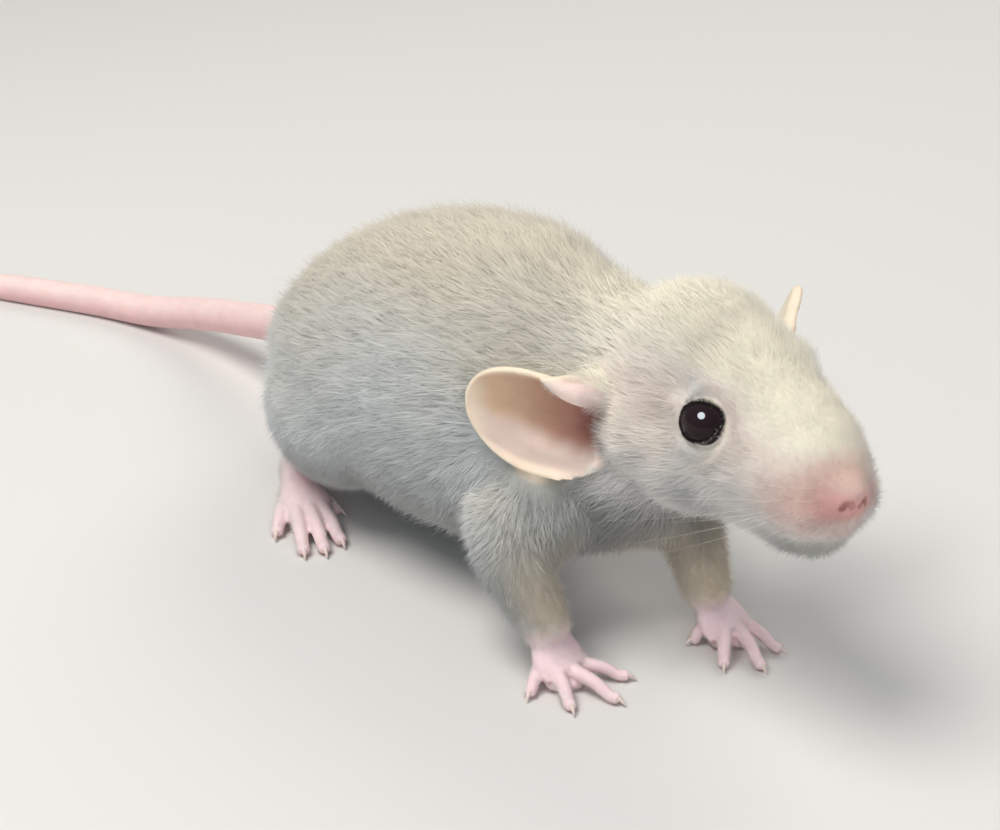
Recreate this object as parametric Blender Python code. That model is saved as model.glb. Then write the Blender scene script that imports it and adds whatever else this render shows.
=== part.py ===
"""Life-size still model of a young pet rat with low-set round ears, standing with its head raised.

Axes: +X towards the head, +Y to the rat's left, +Z up, with the floor at Z = 0. The origin is on the floor
under the centre of the whole model's box. Sizes are in millimetres until publish() turns each finished
node into metres. The coat is part of the solids: their surface is the outline of the fur's tips.
"""

import math

import bmesh
import bpy
from mathutils import Matrix, Vector
from mathutils.bvhtree import BVHTree

MM = 0.001
GAP = 0.3  # kept between two nodes that touch
CENTRE = Vector((-55.04, -2.18, 0.0))  # the floor point that becomes the origin

# The head's place: its frame has +X to the nose and +Z to the crown, with its origin midway between the eyes.
HEAD_AT = Vector((40.2, 5.8, 40.3))
HEAD_TURN = math.radians(-4.7)  # about +Z, to the rat's right
HEAD_RAISE = math.radians(8.4)  # nose up

EYE_RADIUS = 2.95
EYE_AT = Vector((-0.4, -7.2, 0.0))  # the right eye, in the head's frame
EYE_LOOK = Vector((0.42, -0.88, 0.20)).normalized()
LID_RADIUS = 2.8
LID_THICK = 0.55

# Each ear in the head's frame: its root, the way to its tip, the way that its cup faces, and the cup's depth.
EARS = {
    "right": (Vector((-12.6, -13.0, -5.1)), Vector((-0.846, -0.520, 0.118)), Vector((0.503, -0.861, -0.074)), 3.0),
    "left": (Vector((-12.2, 12.6, -5.4)), Vector((-0.630, 0.675, 0.385)), Vector((0.640, 0.735, -0.219)), 1.8),
}
EAR_LENGTH = 19.4
EAR_WIDTH = 14.6
EAR_THICK = 0.9

FLESH_VOXEL = 0.75
FLESH_TRIANGLES = 4000
SMOOTHING = 10

MIRROR = Matrix.Scale(-1.0, 4, Vector((0.0, 1.0, 0.0)))

FUR_COLOUR = (0.62, 0.58, 0.51)
SKIN_COLOUR = (0.86, 0.62, 0.58)
EAR_COLOUR = (0.82, 0.64, 0.55)
EYE_COLOUR = (0.006, 0.004, 0.005)


def head_frame():
    """The matrix from the head's frame to the model's."""
    turn = Matrix.Rotation(HEAD_TURN, 4, "Z") @ Matrix.Rotation(-HEAD_RAISE, 4, "Y")
    return Matrix.Translation(HEAD_AT) @ turn


def clear_scene():
    for obj in list(bpy.data.objects):
        bpy.data.objects.remove(obj, do_unlink=True)


def material(name, colour, roughness):
    made = bpy.data.materials.new(name)
    made.use_nodes = True
    shader = made.node_tree.nodes["Principled BSDF"]
    shader.inputs["Base Color"].default_value = (*colour, 1.0)
    shader.inputs["Roughness"].default_value = roughness
    shader.inputs["Metallic"].default_value = 0.0
    made.diffuse_color = (*colour, 1.0)
    return made


def object_of(name, mesh):
    """Links a new object that holds a bmesh's faces, and frees the bmesh."""
    mesh.normal_update()
    bmesh.ops.recalc_face_normals(mesh, faces=mesh.faces)
    data = bpy.data.meshes.new(name)
    mesh.to_mesh(data)
    mesh.free()
    obj = bpy.data.objects.new(name, data)
    bpy.context.scene.collection.objects.link(obj)
    return obj


def applied(obj):
    """Replaces the object's mesh by its evaluated one, and takes its modifiers off."""
    graph = bpy.context.evaluated_depsgraph_get()
    graph.update()
    data = bpy.data.meshes.new_from_object(obj.evaluated_get(graph))
    obj.modifiers.clear()
    obj.data = data
    return obj


def discard(obj):
    bpy.data.objects.remove(obj, do_unlink=True)


# Shapes

def spline(rows, per_span):
    """Rows of numbers, made finer by a curve that passes through each of them."""
    rows = [Vector(row) for row in rows]
    ends = [rows[0] * 2 - rows[1], *rows, rows[-1] * 2 - rows[-2]]
    fine = []
    for a, b, c, d in zip(ends, ends[1:], ends[2:], ends[3:]):
        for step in range(per_span):
            t = step / per_span
            fine.append(
                b
                + (c - a) * (t / 2)
                + (a * 2 - b * 5 + c * 4 - d) * (t * t / 2)
                + (b * 3 - a - c * 3 + d) * (t**3 / 2)
            )
    return [*fine, rows[-1]]


def tube(name, stations, sides=16, per_span=4, up=(0, 0, 1), place=None):
    """A closed round body through stations of (x, y, z, half width, half height up, half height down)."""
    rows = spline(stations, per_span)
    centres = [Vector(row[:3]) for row in rows]
    mesh = bmesh.new()
    rings = []
    for i, row in enumerate(rows):
        along = (centres[min(i + 1, len(rows) - 1)] - centres[max(i - 1, 0)]).normalized()
        side = Vector(up).cross(along).normalized()
        rise = along.cross(side)
        ring = []
        for k in range(sides):
            turn = 2 * math.pi * (k + 0.5) / sides
            height = row[4] if math.sin(turn) > 0 else row[5]
            point = centres[i] + side * row[3] * math.cos(turn) + rise * height * math.sin(turn)
            ring.append(mesh.verts.new(point))
        rings.append(ring)
    for low, high in zip(rings, rings[1:]):
        for k in range(sides):
            mesh.faces.new((low[k], low[(k + 1) % sides], high[(k + 1) % sides], high[k]))
    mesh.faces.new(rings[0])
    mesh.faces.new(rings[-1])
    if place is not None:
        mesh.transform(place)
    return object_of(name, mesh)


def round_tube(name, points, radii, **options):
    """A tube of round section through points, with one radius each."""
    return tube(name, [(*p, r, r, r) for p, r in zip(points, radii)], **options)


def blob(name, at, radii, tilt=0.0, place=None, segments=20):
    """An ellipsoid, tilted nose-down about Y by so many degrees."""
    mesh = bmesh.new()
    shape = Matrix.Translation(at) @ Matrix.Rotation(math.radians(tilt), 4, "Y") @ Matrix.Diagonal((*radii, 1))
    bmesh.ops.create_uvsphere(mesh, u_segments=segments, v_segments=segments // 2, radius=1, matrix=shape)
    if place is not None:
        mesh.transform(place)
    return object_of(name, mesh)


def ring(name, at, axis, major, minor, place=None, around=20, across=8):
    """A torus about an axis."""
    mesh = bmesh.new()
    turn = axis.to_track_quat("Z", "Y").to_matrix().to_4x4()
    circle = bmesh.ops.create_circle(mesh, segments=across, radius=minor)["verts"]
    start = Matrix.Translation((major, 0, 0)) @ Matrix.Rotation(math.pi / 2, 4, "X")
    bmesh.ops.transform(mesh, verts=circle, matrix=start)
    bmesh.ops.spin(mesh, geom=mesh.edges[:], cent=(0, 0, 0), axis=(0, 0, 1), angle=2 * math.pi,
                   steps=around, use_merge=True)
    bmesh.ops.remove_doubles(mesh, verts=mesh.verts, dist=0.001)
    mesh.transform(Matrix.Translation(at) @ turn)
    if place is not None:
        mesh.transform(place)
    return object_of(name, mesh)


# Joining and cutting

def boolean(obj, others, operation, solver="EXACT"):
    """Applies one Boolean with a collection of closed meshes, and removes them."""
    tools = bpy.data.collections.new("tools")
    bpy.context.scene.collection.children.link(tools)
    for other in others:
        bpy.context.scene.collection.objects.unlink(other)
        tools.objects.link(other)
    step = obj.modifiers.new("join", "BOOLEAN")
    step.operation = operation
    step.solver = solver
    step.operand_type = "COLLECTION"
    step.collection = tools
    applied(obj)
    for other in others:
        discard(other)
    bpy.data.collections.remove(tools)
    return obj


def loose_parts(mesh):
    """The groups of connected faces of a bmesh."""
    left = set(mesh.faces)
    groups = []
    while left:
        group, front = set(), [left.pop()]
        while front:
            face = front.pop()
            group.add(face)
            for edge in face.edges:
                for near in edge.link_faces:
                    if near in left:
                        left.remove(near)
                        front.append(near)
        groups.append(group)
    return groups


def volume_of(faces):
    """The signed volume that a group of faces encloses."""
    total = 0.0
    for face in faces:
        corners = [v.co for v in face.verts]
        for b, c in zip(corners[1:], corners[2:]):
            total += corners[0].dot(b.cross(c)) / 6
    return total


def keep_largest(obj):
    """Keeps only the closed surface of largest volume."""
    mesh = bmesh.new()
    mesh.from_mesh(obj.data)
    groups = sorted(loose_parts(mesh), key=lambda g: abs(volume_of(g)))
    for group in groups[:-1]:
        bmesh.ops.delete(mesh, geom=list(group), context="FACES")
    loose = [v for v in mesh.verts if not v.link_faces]
    bmesh.ops.delete(mesh, geom=loose, context="VERTS")
    mesh.to_mesh(obj.data)
    mesh.free()
    return obj


def grown(obj, by):
    """A copy whose surface stands out by so much."""
    mesh = bmesh.new()
    mesh.from_mesh(obj.data)
    mesh.normal_update()
    moves = [v.normal * by for v in mesh.verts]
    for vert, move in zip(mesh.verts, moves):
        vert.co += move
    return object_of(obj.name + "_grown", mesh)


def seat(piece, *carriers):
    """Cuts the piece back to the face of what it grows from, with the gap between them."""
    boolean(piece, [grown(carrier, GAP) for carrier in carriers], "DIFFERENCE")
    return keep_largest(piece)


def flatten_under(obj, level=0.0):
    """Cuts off what is under the floor, which leaves small flats to rest on."""
    mesh = bmesh.new()
    mesh.from_mesh(obj.data)
    cut = bmesh.ops.bisect_plane(
        mesh, geom=[*mesh.verts, *mesh.edges, *mesh.faces], dist=1e-5,
        plane_co=(0, 0, level), plane_no=(0, 0, -1), clear_outer=True,
    )
    edges = [g for g in cut["geom_cut"] if isinstance(g, bmesh.types.BMEdge)]
    if edges:
        bmesh.ops.holes_fill(mesh, edges=edges)
    bmesh.ops.triangulate(mesh, faces=mesh.faces)
    mesh.to_mesh(obj.data)
    mesh.free()
    return obj


# Flesh with its coat

TORSO = (
    (-54.0, -0.6, 16.4, 3.0, 3.0, 3.0),
    (-50.5, -0.5, 16.8, 6.0, 5.0, 6.0),
    (-46.0, -0.2, 18.0, 12.0, 8.4, 11.0),
    (-38.0, 0.0, 21.5, 17.5, 13.8, 17.0),
    (-28.0, 0.0, 24.0, 20.5, 19.0, 20.0),
    (-16.0, 0.0, 25.5, 20.5, 22.8, 21.5),
    (-4.0, 0.6, 26.5, 19.0, 24.6, 21.5),
    (6.0, 1.9, 27.5, 15.8, 24.4, 20.5),
    (14.0, 3.4, 29.0, 11.6, 22.4, 18.5),
    (21.0, 4.6, 32.0, 9.8, 18.8, 16.0),
    (27.0, 5.0, 34.5, 8.0, 13.0, 10.0),
)

HEAD = (
    (-20.5, 0, -3.5, 8.5, 11.0, 8.5),
    (-16.5, 0, -3.0, 11.4, 15.0, 12.0),
    (-9.0, 0, -2.6, 11.2, 16.4, 12.8),
    (-2.0, 0, -3.0, 8.4, 15.0, 12.4),
    (5.0, 0, -4.2, 8.4, 11.2, 11.2),
    (10.5, 0, -5.3, 7.9, 8.8, 9.6),
    (14.6, 0, -6.0, 6.0, 6.2, 7.6),
    (17.3, 0, -6.1, 3.5, 3.5, 4.9),
    (18.7, 0, -6.1, 1.4, 1.4, 1.9),
)

HEAD_BLOBS = (
    ("cheek", (-6.5, -5.2, -6.5), (8.5, 6.4, 7.4)),
    ("brow", (-1.0, -5.0, 4.2), (5.5, 3.8, 3.6)),
    ("whisker_pad", (11.8, -3.6, -7.8), (5.4, 3.9, 4.6)),
    ("ear_root", (-12.6, -9.0, -4.4), (5.6, 4.2, 5.6)),
)

THIGH = ((-27.0, -12.8, 17.8), (14.0, 9.5, 11.5), -14.0)
SHANK = (((-20.0, -15.4, 13.4), (-28.0, -15.4, 10.4), (-35.0, -14.0, 8.2), (-40.2, -13.0, 5.8)), (4.0, 3.6, 2.8, 2.1))
SHOULDER_RIGHT = ((12.0, -7.4, 19.0), (9.5, 6.6, 10.0), 20.0)
SHOULDER_LEFT = ((15.5, 10.0, 20.5), (9.5, 6.6, 10.5), 20.0)
ARM_RIGHT = (
    ((11.5, -9.0, 22.5), (13.2, -11.2, 19.0), (16.8, -13.6, 14.8), (21.4, -13.1, 9.8), (23.6, -12.2, 5.2)),
    (3.0, 5.8, 5.2, 4.1, 3.5),
)
ARM_LEFT = (
    ((14.5, 9.0, 24.0), (17.0, 10.6, 20.5), (23.0, 10.4, 16.0), (27.6, 9.4, 11.0), (27.6, 10.8, 5.2)),
    (3.0, 6.0, 4.8, 4.0, 3.6),
)


def flesh():
    """Head, neck, torso and the coated lengths of the legs as one blended closed surface."""
    head = head_frame()
    pieces = [tube("torso_form", TORSO, sides=28), tube("head_form", HEAD, sides=28, place=head)]
    for name, at, radii in HEAD_BLOBS:
        for place in (head, head @ MIRROR):
            pieces.append(blob(name, at, radii, place=place))
    pieces.append(blob("chin", (8.0, 0, -12.4), (7.5, 4.6, 3.9), place=head))
    pieces.append(blob("nose", (17.8, 0, -5.4), (1.9, 2.1, 1.7), place=head))
    for place in (head, head @ MIRROR):
        lids_at = EYE_AT + EYE_LOOK * math.sqrt(EYE_RADIUS**2 - LID_RADIUS**2) * 0.9
        pieces.append(ring("lids", lids_at, EYE_LOOK, LID_RADIUS + 0.25, LID_THICK, place=place))
    for place in (Matrix.Identity(4), MIRROR):
        pieces.append(blob("thigh", THIGH[0], THIGH[1], tilt=THIGH[2], place=place))
        pieces.append(round_tube("shank", *SHANK, place=place))
    for at, radii, tilt in (SHOULDER_RIGHT, SHOULDER_LEFT):
        pieces.append(blob("shoulder", at, radii, tilt=tilt))
    for points, radii in (ARM_RIGHT, ARM_LEFT):
        pieces.append(round_tube("arm", points, radii, up=(1, 0, 0)))
    whole = pieces[0]
    joined = bmesh.new()
    for piece in pieces:
        joined.from_mesh(piece.data)
    joined.to_mesh(whole.data)
    joined.free()
    for piece in pieces[1:]:
        discard(piece)
    blend = whole.modifiers.new("blend", "REMESH")
    blend.mode = "VOXEL"
    blend.voxel_size = FLESH_VOXEL
    soften = whole.modifiers.new("soften", "SMOOTH")
    soften.factor = 0.5
    soften.iterations = SMOOTHING
    return applied(keep_largest(applied(whole)))


def thinned(obj, triangles):
    """Fewer triangles, kept where the surface bends most."""
    mesh = bmesh.new()
    mesh.from_mesh(obj.data)
    bmesh.ops.triangulate(mesh, faces=mesh.faces)
    count = len(mesh.faces)
    mesh.to_mesh(obj.data)
    mesh.free()
    step = obj.modifiers.new("thin", "DECIMATE")
    step.ratio = min(1.0, triangles / count)
    return applied(obj)


def disc_cutter(name, at, facing, radius):
    """A flat round wall as thick as the gap."""
    mesh = bmesh.new()
    facing = Vector(facing).normalized()
    place = Matrix.Translation(at) @ facing.to_track_quat("Z", "Y").to_matrix().to_4x4()
    bmesh.ops.create_cone(mesh, cap_ends=True, segments=20, radius1=radius, radius2=radius, depth=GAP, matrix=place)
    return object_of(name, mesh)


def shell_cutter(name, at, radii):
    """An ellipsoid wall as thick as the gap."""
    outer = blob(name, at, [r + GAP / 2 for r in radii], segments=16)
    inner = blob(name, at, [r - GAP / 2 for r in radii], segments=16)
    mesh = bmesh.new()
    mesh.from_mesh(inner.data)
    bmesh.ops.reverse_faces(mesh, faces=mesh.faces)
    mesh.from_mesh(outer.data)
    mesh.to_mesh(outer.data)
    mesh.free()
    discard(inner)
    return outer


CUTS = {
    "head": ((19.5, 4.4, 33.5), (0.82, 0.02, 0.57), 30.0),
    "neck": ((9.5, 1.6, 29.0), (0.88, 0.10, 0.46), 40.0),
}
LEG_CUTS = {
    "hindleg_right": ((-29.0, -20.0, 12.0), (19.0, 10.5, 17.0)),
    "hindleg_left": ((-29.0, 20.0, 12.0), (19.0, 10.5, 17.0)),
    "foreleg_right": ((17.0, -14.5, 11.0), (12.0, 9.0, 15.5)),
    "foreleg_left": ((22.0, 12.6, 11.0), (12.0, 9.6, 15.5)),
}
SEEDS = {
    "torso": (-15.0, 0.0, 30.0),
    "neck": (15.0, 3.0, 31.0),
    "head": (38.0, 5.5, 37.0),
    "hindleg_right": (-28.0, -18.0, 14.0),
    "hindleg_left": (-28.0, 18.0, 14.0),
    "foreleg_right": (16.0, -14.0, 14.0),
    "foreleg_left": (21.0, 12.0, 14.0),
}


def parted(whole, walls, names):
    """Cuts a body by thin walls, and gives its largest pieces the names of the seeds that they lie nearest to."""
    boolean(whole, walls, "DIFFERENCE")
    mesh = bmesh.new()
    mesh.from_mesh(whole.data)
    groups = sorted(loose_parts(mesh), key=volume_of, reverse=True)[: len(names)]
    nodes = {}
    for group in groups:
        verts = list(dict.fromkeys(v for face in mesh.faces if face in group for v in face.verts))
        middle = sum((v.co for v in verts), Vector()) / len(verts)
        name = min((n for n in names if n not in nodes), key=lambda n: (middle - Vector(SEEDS[n])).length)
        part = bmesh.new()
        copies = {v: part.verts.new(v.co) for v in verts}
        for face in mesh.faces:
            if face in group:
                part.faces.new([copies[v] for v in face.verts])
        nodes[name] = object_of(name, part)
    mesh.free()
    discard(whole)
    return nodes


def divided(whole):
    """The flesh parted into its named nodes: the legs first, then head and neck off the trunk."""
    nodes = parted(whole, [shell_cutter(name, *cut) for name, cut in LEG_CUTS.items()], ["torso", *LEG_CUTS])
    walls = [disc_cutter(name, *cut) for name, cut in CUTS.items()]
    nodes.update(parted(nodes.pop("torso"), walls, ["torso", "neck", "head"]))
    return nodes


# The face

MOUTH_CORNER = 62.0  # degrees from straight ahead
MOUTH_LEVEL = -11.6
MOUTH_FROM = Vector((9.5, 0.0, MOUTH_LEVEL))
GROOVE = 0.32
NOSTRIL_AT = Vector((18.3, -1.35, -6.0))
NOSTRIL_RADII = (1.3, 0.5, 0.75)


def surface_path(obj, place, starts):
    """Where rays from inside, given as (from, towards) in the head's frame, meet the surface."""
    mesh = bmesh.new()
    mesh.from_mesh(obj.data)
    tree = BVHTree.FromBMesh(mesh)
    mesh.free()
    turn = place.to_3x3()
    hits = [tree.ray_cast(place @ start, turn @ towards)[0] for start, towards in starts]
    return [hit for hit in hits if hit is not None]


def carve_face(head_node):
    """Eye sockets, nostrils, the split of the lip and the line of the mouth."""
    head = head_frame()
    tools = []
    for place in (head, head @ MIRROR):
        radius = EYE_RADIUS + GAP
        tools.append(blob("socket", EYE_AT, (radius,) * 3, place=place, segments=20))
        tools.append(blob("nostril", NOSTRIL_AT, NOSTRIL_RADII, tilt=20.0, place=place, segments=12))
    span = [math.radians(MOUTH_CORNER * (k / 6 - 1)) for k in range(13)]
    mouth = surface_path(head_node, head, [(MOUTH_FROM, Vector((math.cos(a), math.sin(a), 0))) for a in span])
    tools.append(round_tube("mouth", mouth, [GROOVE] * len(mouth), sides=8, per_span=2))
    lip = surface_path(
        head_node, head,
        [(Vector((14.0, 0.0, -8.0)), Vector((math.cos(a), 0, -math.sin(a)))) for a in (0.02, 0.25, 0.5)],
    )
    tools.append(round_tube("lip", lip, [GROOVE] * len(lip), sides=8, per_span=2, up=(0, 1, 0)))
    for tool in tools:
        boolean(head_node, [tool], "DIFFERENCE")
    return keep_largest(head_node)


def eye(name, place):
    return blob(name, EYE_AT, (EYE_RADIUS,) * 3, place=place, segments=16)


# Ears

def ear_outline(u):
    """Half the ear's width at a share u of its length: a narrow root, then nearly a circle."""
    root = 0.30
    disc = math.sqrt(max(0.0, 1 - ((u - 0.52) / 0.48) ** 2)) if u > 0.04 else 0.0
    return EAR_WIDTH / 2 * max(disc, root * (1 - u) if u < 0.3 else 0.0)


def ear(name, pose, place, rows=10, columns=8):
    """A thin round cup on a short root, hollow towards the side that it faces."""
    root, along, facing, depth = pose
    along = along.normalized()
    across = facing.cross(along).normalized()
    facing = along.cross(across)
    mesh = bmesh.new()
    front, back = [], []
    for i in range(rows + 1):
        u = 0.5 - 0.5 * math.cos(math.pi * (i / rows) ** 0.9)
        half = ear_outline(min(u, 0.995))
        line_front, line_back = [], []
        for k in range(columns + 1):
            v = 2 * k / columns - 1
            hollow = depth * (1 - v * v) * (1 - u**3) + 0.8 * (1 - u) ** 2
            point = root + along * EAR_LENGTH * u + across * half * v - facing * hollow
            edge = 1 - 0.35 * max(abs(v), u) ** 4
            line_front.append(mesh.verts.new(point))
            line_back.append(mesh.verts.new(point - facing * EAR_THICK * edge))
        front.append(line_front)
        back.append(line_back)
    for i in range(rows):
        for k in range(columns):
            mesh.faces.new((front[i][k], front[i][k + 1], front[i + 1][k + 1], front[i + 1][k]))
            mesh.faces.new((back[i][k], back[i + 1][k], back[i + 1][k + 1], back[i][k + 1]))
    rim_front = [front[0][k] for k in range(columns)] + [front[i][columns] for i in range(rows)]
    rim_front += [front[rows][k] for k in range(columns, 0, -1)] + [front[i][0] for i in range(rows, 0, -1)]
    rim_back = [back[0][k] for k in range(columns)] + [back[i][columns] for i in range(rows)]
    rim_back += [back[rows][k] for k in range(columns, 0, -1)] + [back[i][0] for i in range(rows, 0, -1)]
    count = len(rim_front)
    for k in range(count):
        j = (k + 1) % count
        mesh.faces.new((rim_front[k], rim_back[k], rim_back[j], rim_front[j]))
    mesh.transform(place)
    return object_of(name, mesh)


# Feet

def digit_pieces(base, tip, radius, claw):
    """A toe that arches to the floor, with its knuckle and its claw."""
    base, tip = Vector(base), Vector(tip)
    run = tip - base
    flat = Vector((run.x, run.y, 0.0))
    ahead = flat.normalized()
    toe_end = base + flat - ahead * claw
    toe_end.z = radius * 0.86
    knuckle = base.lerp(toe_end, 0.48)
    knuckle.z += 0.3
    last = base.lerp(toe_end, 0.78)
    last.z = radius * 1.12
    shape = round_tube(
        "digit",
        [base - ahead * 2.2, base, knuckle, last, toe_end, toe_end + ahead * radius * 0.55],
        [radius * 1.1, radius * 1.2, radius * 1.1, radius * 0.95, radius * 0.86, radius * 0.4],
        sides=6, per_span=1,
    )
    root = toe_end + Vector((0, 0, radius * 0.35)) - ahead * 0.2
    claw_points = [root, root + ahead * (claw * 0.6), Vector((toe_end + ahead * (claw + 0.2)).to_tuple())]
    claw_points[1].z = root.z - 0.05
    claw_points[2].z = 0.35
    nail = round_tube("claw", claw_points, [radius * 0.5, radius * 0.42, 0.12], sides=5, per_span=1)
    return [shape, nail]


PAD_RISE = 0.75  # the middle of a sole's pad above the floor
PAD_SINK = 0.3  # how far a pad is pressed flat

FORE_PAW_RIGHT = {
    "limb": (((23.0, -12.6, 8.0), (23.7, -12.3, 5.0), (25.2, -12.2, 3.1), (27.2, -12.0, 2.0)),
             ((2.9, 2.4), (3.2, 2.2), (3.9, 2.0), (3.9, 1.5))),
    "digits": (((24.6, -14.8, 2.2), (27.4, -18.9), 0.9), ((27.4, -13.9, 2.3), (33.4, -15.8), 0.95),
               ((28.0, -11.7, 2.4), (35.4, -9.2), 0.95), ((26.9, -9.6, 2.2), (31.6, -4.4), 0.9)),
    "thumb": ((24.6, -9.9, 1.9), (26.2, -7.6), 0.7),
    "pads": (((26.8, -14.0), (1.5, 1.3)), ((28.0, -11.8), (1.4, 1.3)), ((26.4, -10.2), (1.3, 1.2)),
             ((24.4, -12.8), (1.5, 1.5))),
    "claw": 1.2,
}
FORE_PAW_LEFT = {
    "limb": (((27.6, 10.0, 8.0), (28.2, 10.9, 5.0), (30.0, 11.3, 3.1), (32.2, 11.4, 2.0)),
             ((2.9, 2.4), (3.3, 2.2), (4.0, 2.0), (3.9, 1.5))),
    "digits": (((29.4, 8.8, 2.2), (29.0, 6.0), 0.9), ((32.6, 9.6, 2.4), (37.0, 5.9), 0.95),
               ((33.2, 11.9, 2.4), (40.4, 10.2), 0.95), ((32.0, 14.0, 2.2), (38.6, 15.4), 0.9)),
    "thumb": ((28.6, 9.4, 1.9), (28.0, 7.2), 0.7),
    "pads": (((31.4, 9.8), (1.4, 1.3)), ((32.8, 11.8), (1.4, 1.3)), ((31.8, 13.4), (1.3, 1.2)),
             ((29.4, 11.2), (1.5, 1.5))),
    "claw": 1.2,
}
HIND_PAW_RIGHT = {
    "limb": (((-41.6, -12.9, 2.9), (-39.8, -13.7, 3.4), (-35.2, -15.6, 3.5), (-30.2, -17.6, 2.9), (-26.6, -18.6, 1.9)),
             ((1.3, 1.4), (2.2, 2.4), (2.6, 2.7), (3.9, 2.4), (3.6, 1.3))),
    "digits": (((-30.6, -21.0, 2.4), (-26.3, -24.9), 1.15), ((-27.8, -20.2, 2.6), (-19.3, -24.0), 1.2),
               ((-26.4, -18.6, 2.7), (-17.9, -21.2), 1.2), ((-26.6, -16.6, 2.6), (-18.6, -17.8), 1.2),
               ((-30.4, -14.4, 2.2), (-26.6, -12.7), 1.0)),
    "thumb": None,
    "pads": (((-30.0, -20.2), (1.5, 1.3)), ((-27.4, -19.2), (1.5, 1.4)), ((-28.4, -15.8), (1.5, 1.3)),
             ((-39.6, -13.6), (2.3, 1.7))),
    "claw": 1.3,
}


def paw(name, plan, place=None):
    """One foot: wrist or heel, sole and toes fused into one closed body, with small flats on the floor."""
    points, sizes = plan["limb"]
    stations = [(*p, w, h, h) for p, (w, h) in zip(points, sizes)]
    body = tube(name, stations, sides=10, per_span=2)
    toes = []
    for base, tip, radius in plan["digits"]:
        toes += digit_pieces(base, (*tip, 0.0), radius, plan["claw"])
    if plan["thumb"] is not None:
        base, tip, radius = plan["thumb"]
        toes += digit_pieces(base, (*tip, 0.0), radius, 0.4)
    toes += [blob("pad", (*at, PAD_RISE), (*radii, PAD_RISE + PAD_SINK), segments=8) for at, radii in plan["pads"]]
    boolean(body, toes, "UNION")
    flatten_under(keep_largest(body))
    if place is not None:
        body.data.transform(place)
        body.data.flip_normals()
    return body


# Tail

TAIL_ROUTE = (
    (-51.0, -0.5, 16.8), (-65.5, -0.2, 13.4), (-79.0, -0.2, 9.6), (-92.5, -1.6, 6.0), (-104.0, -5.2, 3.2),
    (-115.0, -10.3, 2.4), (-131.0, -20.8, 2.1), (-146.0, -31.0, 1.6), (-158.0, -35.2, 1.1), (-170.0, -37.2, 0.5),
)
TAIL_RADII = (3.1, 2.95, 2.85, 2.8, 2.7, 2.6, 2.35, 1.7, 1.15, 0.55)
TAIL_CUTS = {"tail_base": (0, 3), "tail_middle": (3, 6), "tail_tip": (6, 9)}


def tail():
    """The tail in three lengths, along one route from the rump down to the floor."""
    nodes = {}
    per_span = 4
    rows = spline([(*p, r, r, r) for p, r in zip(TAIL_ROUTE, TAIL_RADII)], per_span)
    for name, (first, last) in TAIL_CUTS.items():
        span = rows[first * per_span: last * per_span + 1]
        if first:
            step = Vector(span[1][:3]) - Vector(span[0][:3])
            start = Vector(span[0][:3]) + step.normalized() * GAP
            span[0] = Vector((*start, *span[0][3:]))
        nodes[name] = flatten_under(tube(name, span, sides=10, per_span=1))
    return nodes


# The model

def publish(nodes):
    """Gives each node its material, its name and an origin at its middle, in metres under one parent."""
    rat = bpy.data.objects.new("rat", None)
    bpy.context.scene.collection.objects.link(rat)
    fur = material("coat", FUR_COLOUR, 0.85)
    skin = material("bare_skin", SKIN_COLOUR, 0.5)
    ears = material("ear_skin", EAR_COLOUR, 0.6)
    eyes = material("eye", EYE_COLOUR, 0.05)
    looks = {"eye": eyes, "ear": ears, "tail": skin, "forefoot": skin, "hindfoot": skin}
    scale = Matrix.Scale(MM, 4) @ Matrix.Translation(-CENTRE)
    for name, obj in nodes.items():
        obj.data.transform(scale)
        middle = sum((v.co for v in obj.data.vertices), Vector()) / len(obj.data.vertices)
        obj.data.transform(Matrix.Translation(-middle))
        obj.location = middle
        obj.parent = rat
        obj.name = obj.data.name = name
        obj.data.materials.clear()
        obj.data.materials.append(looks.get(name.split("_")[0], fur))
        obj.data.shade_smooth()


def main():
    clear_scene()
    nodes = divided(thinned(flesh(), FLESH_TRIANGLES))
    carve_face(nodes["head"])
    head = head_frame()
    for side, place in (("right", head), ("left", head @ MIRROR)):
        nodes["eye_" + side] = eye("eye_" + side, place)
        nodes["ear_" + side] = seat(ear("ear_" + side, EARS[side], head), nodes["head"], nodes["neck"])
    nodes["forefoot_right"] = seat(paw("forefoot_right", FORE_PAW_RIGHT), nodes["foreleg_right"])
    nodes["forefoot_left"] = seat(paw("forefoot_left", FORE_PAW_LEFT), nodes["foreleg_left"])
    for side, place in (("right", None), ("left", MIRROR)):
        foot = paw("hindfoot_" + side, HIND_PAW_RIGHT, place)
        nodes["hindfoot_" + side] = seat(foot, nodes["hindleg_" + side], nodes["torso"])
    nodes.update(tail())
    seat(nodes["tail_base"], nodes["torso"])
    publish(nodes)


main()
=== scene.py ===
"""The looks of a young pet rat with low-set round ears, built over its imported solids.

Shapes are worked out in millimetres in the workshop frame of the solids, with +X towards the head, +Y to the
rat's left and the floor at Z = 0, and are put in place in metres once they are finished.
"""

import logging
import math
from dataclasses import dataclass, field
from enum import Enum

import bmesh
import bpy
import numpy as np
from mathutils import Matrix, Vector
from mathutils.bvhtree import BVHTree
from mathutils.kdtree import KDTree


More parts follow.
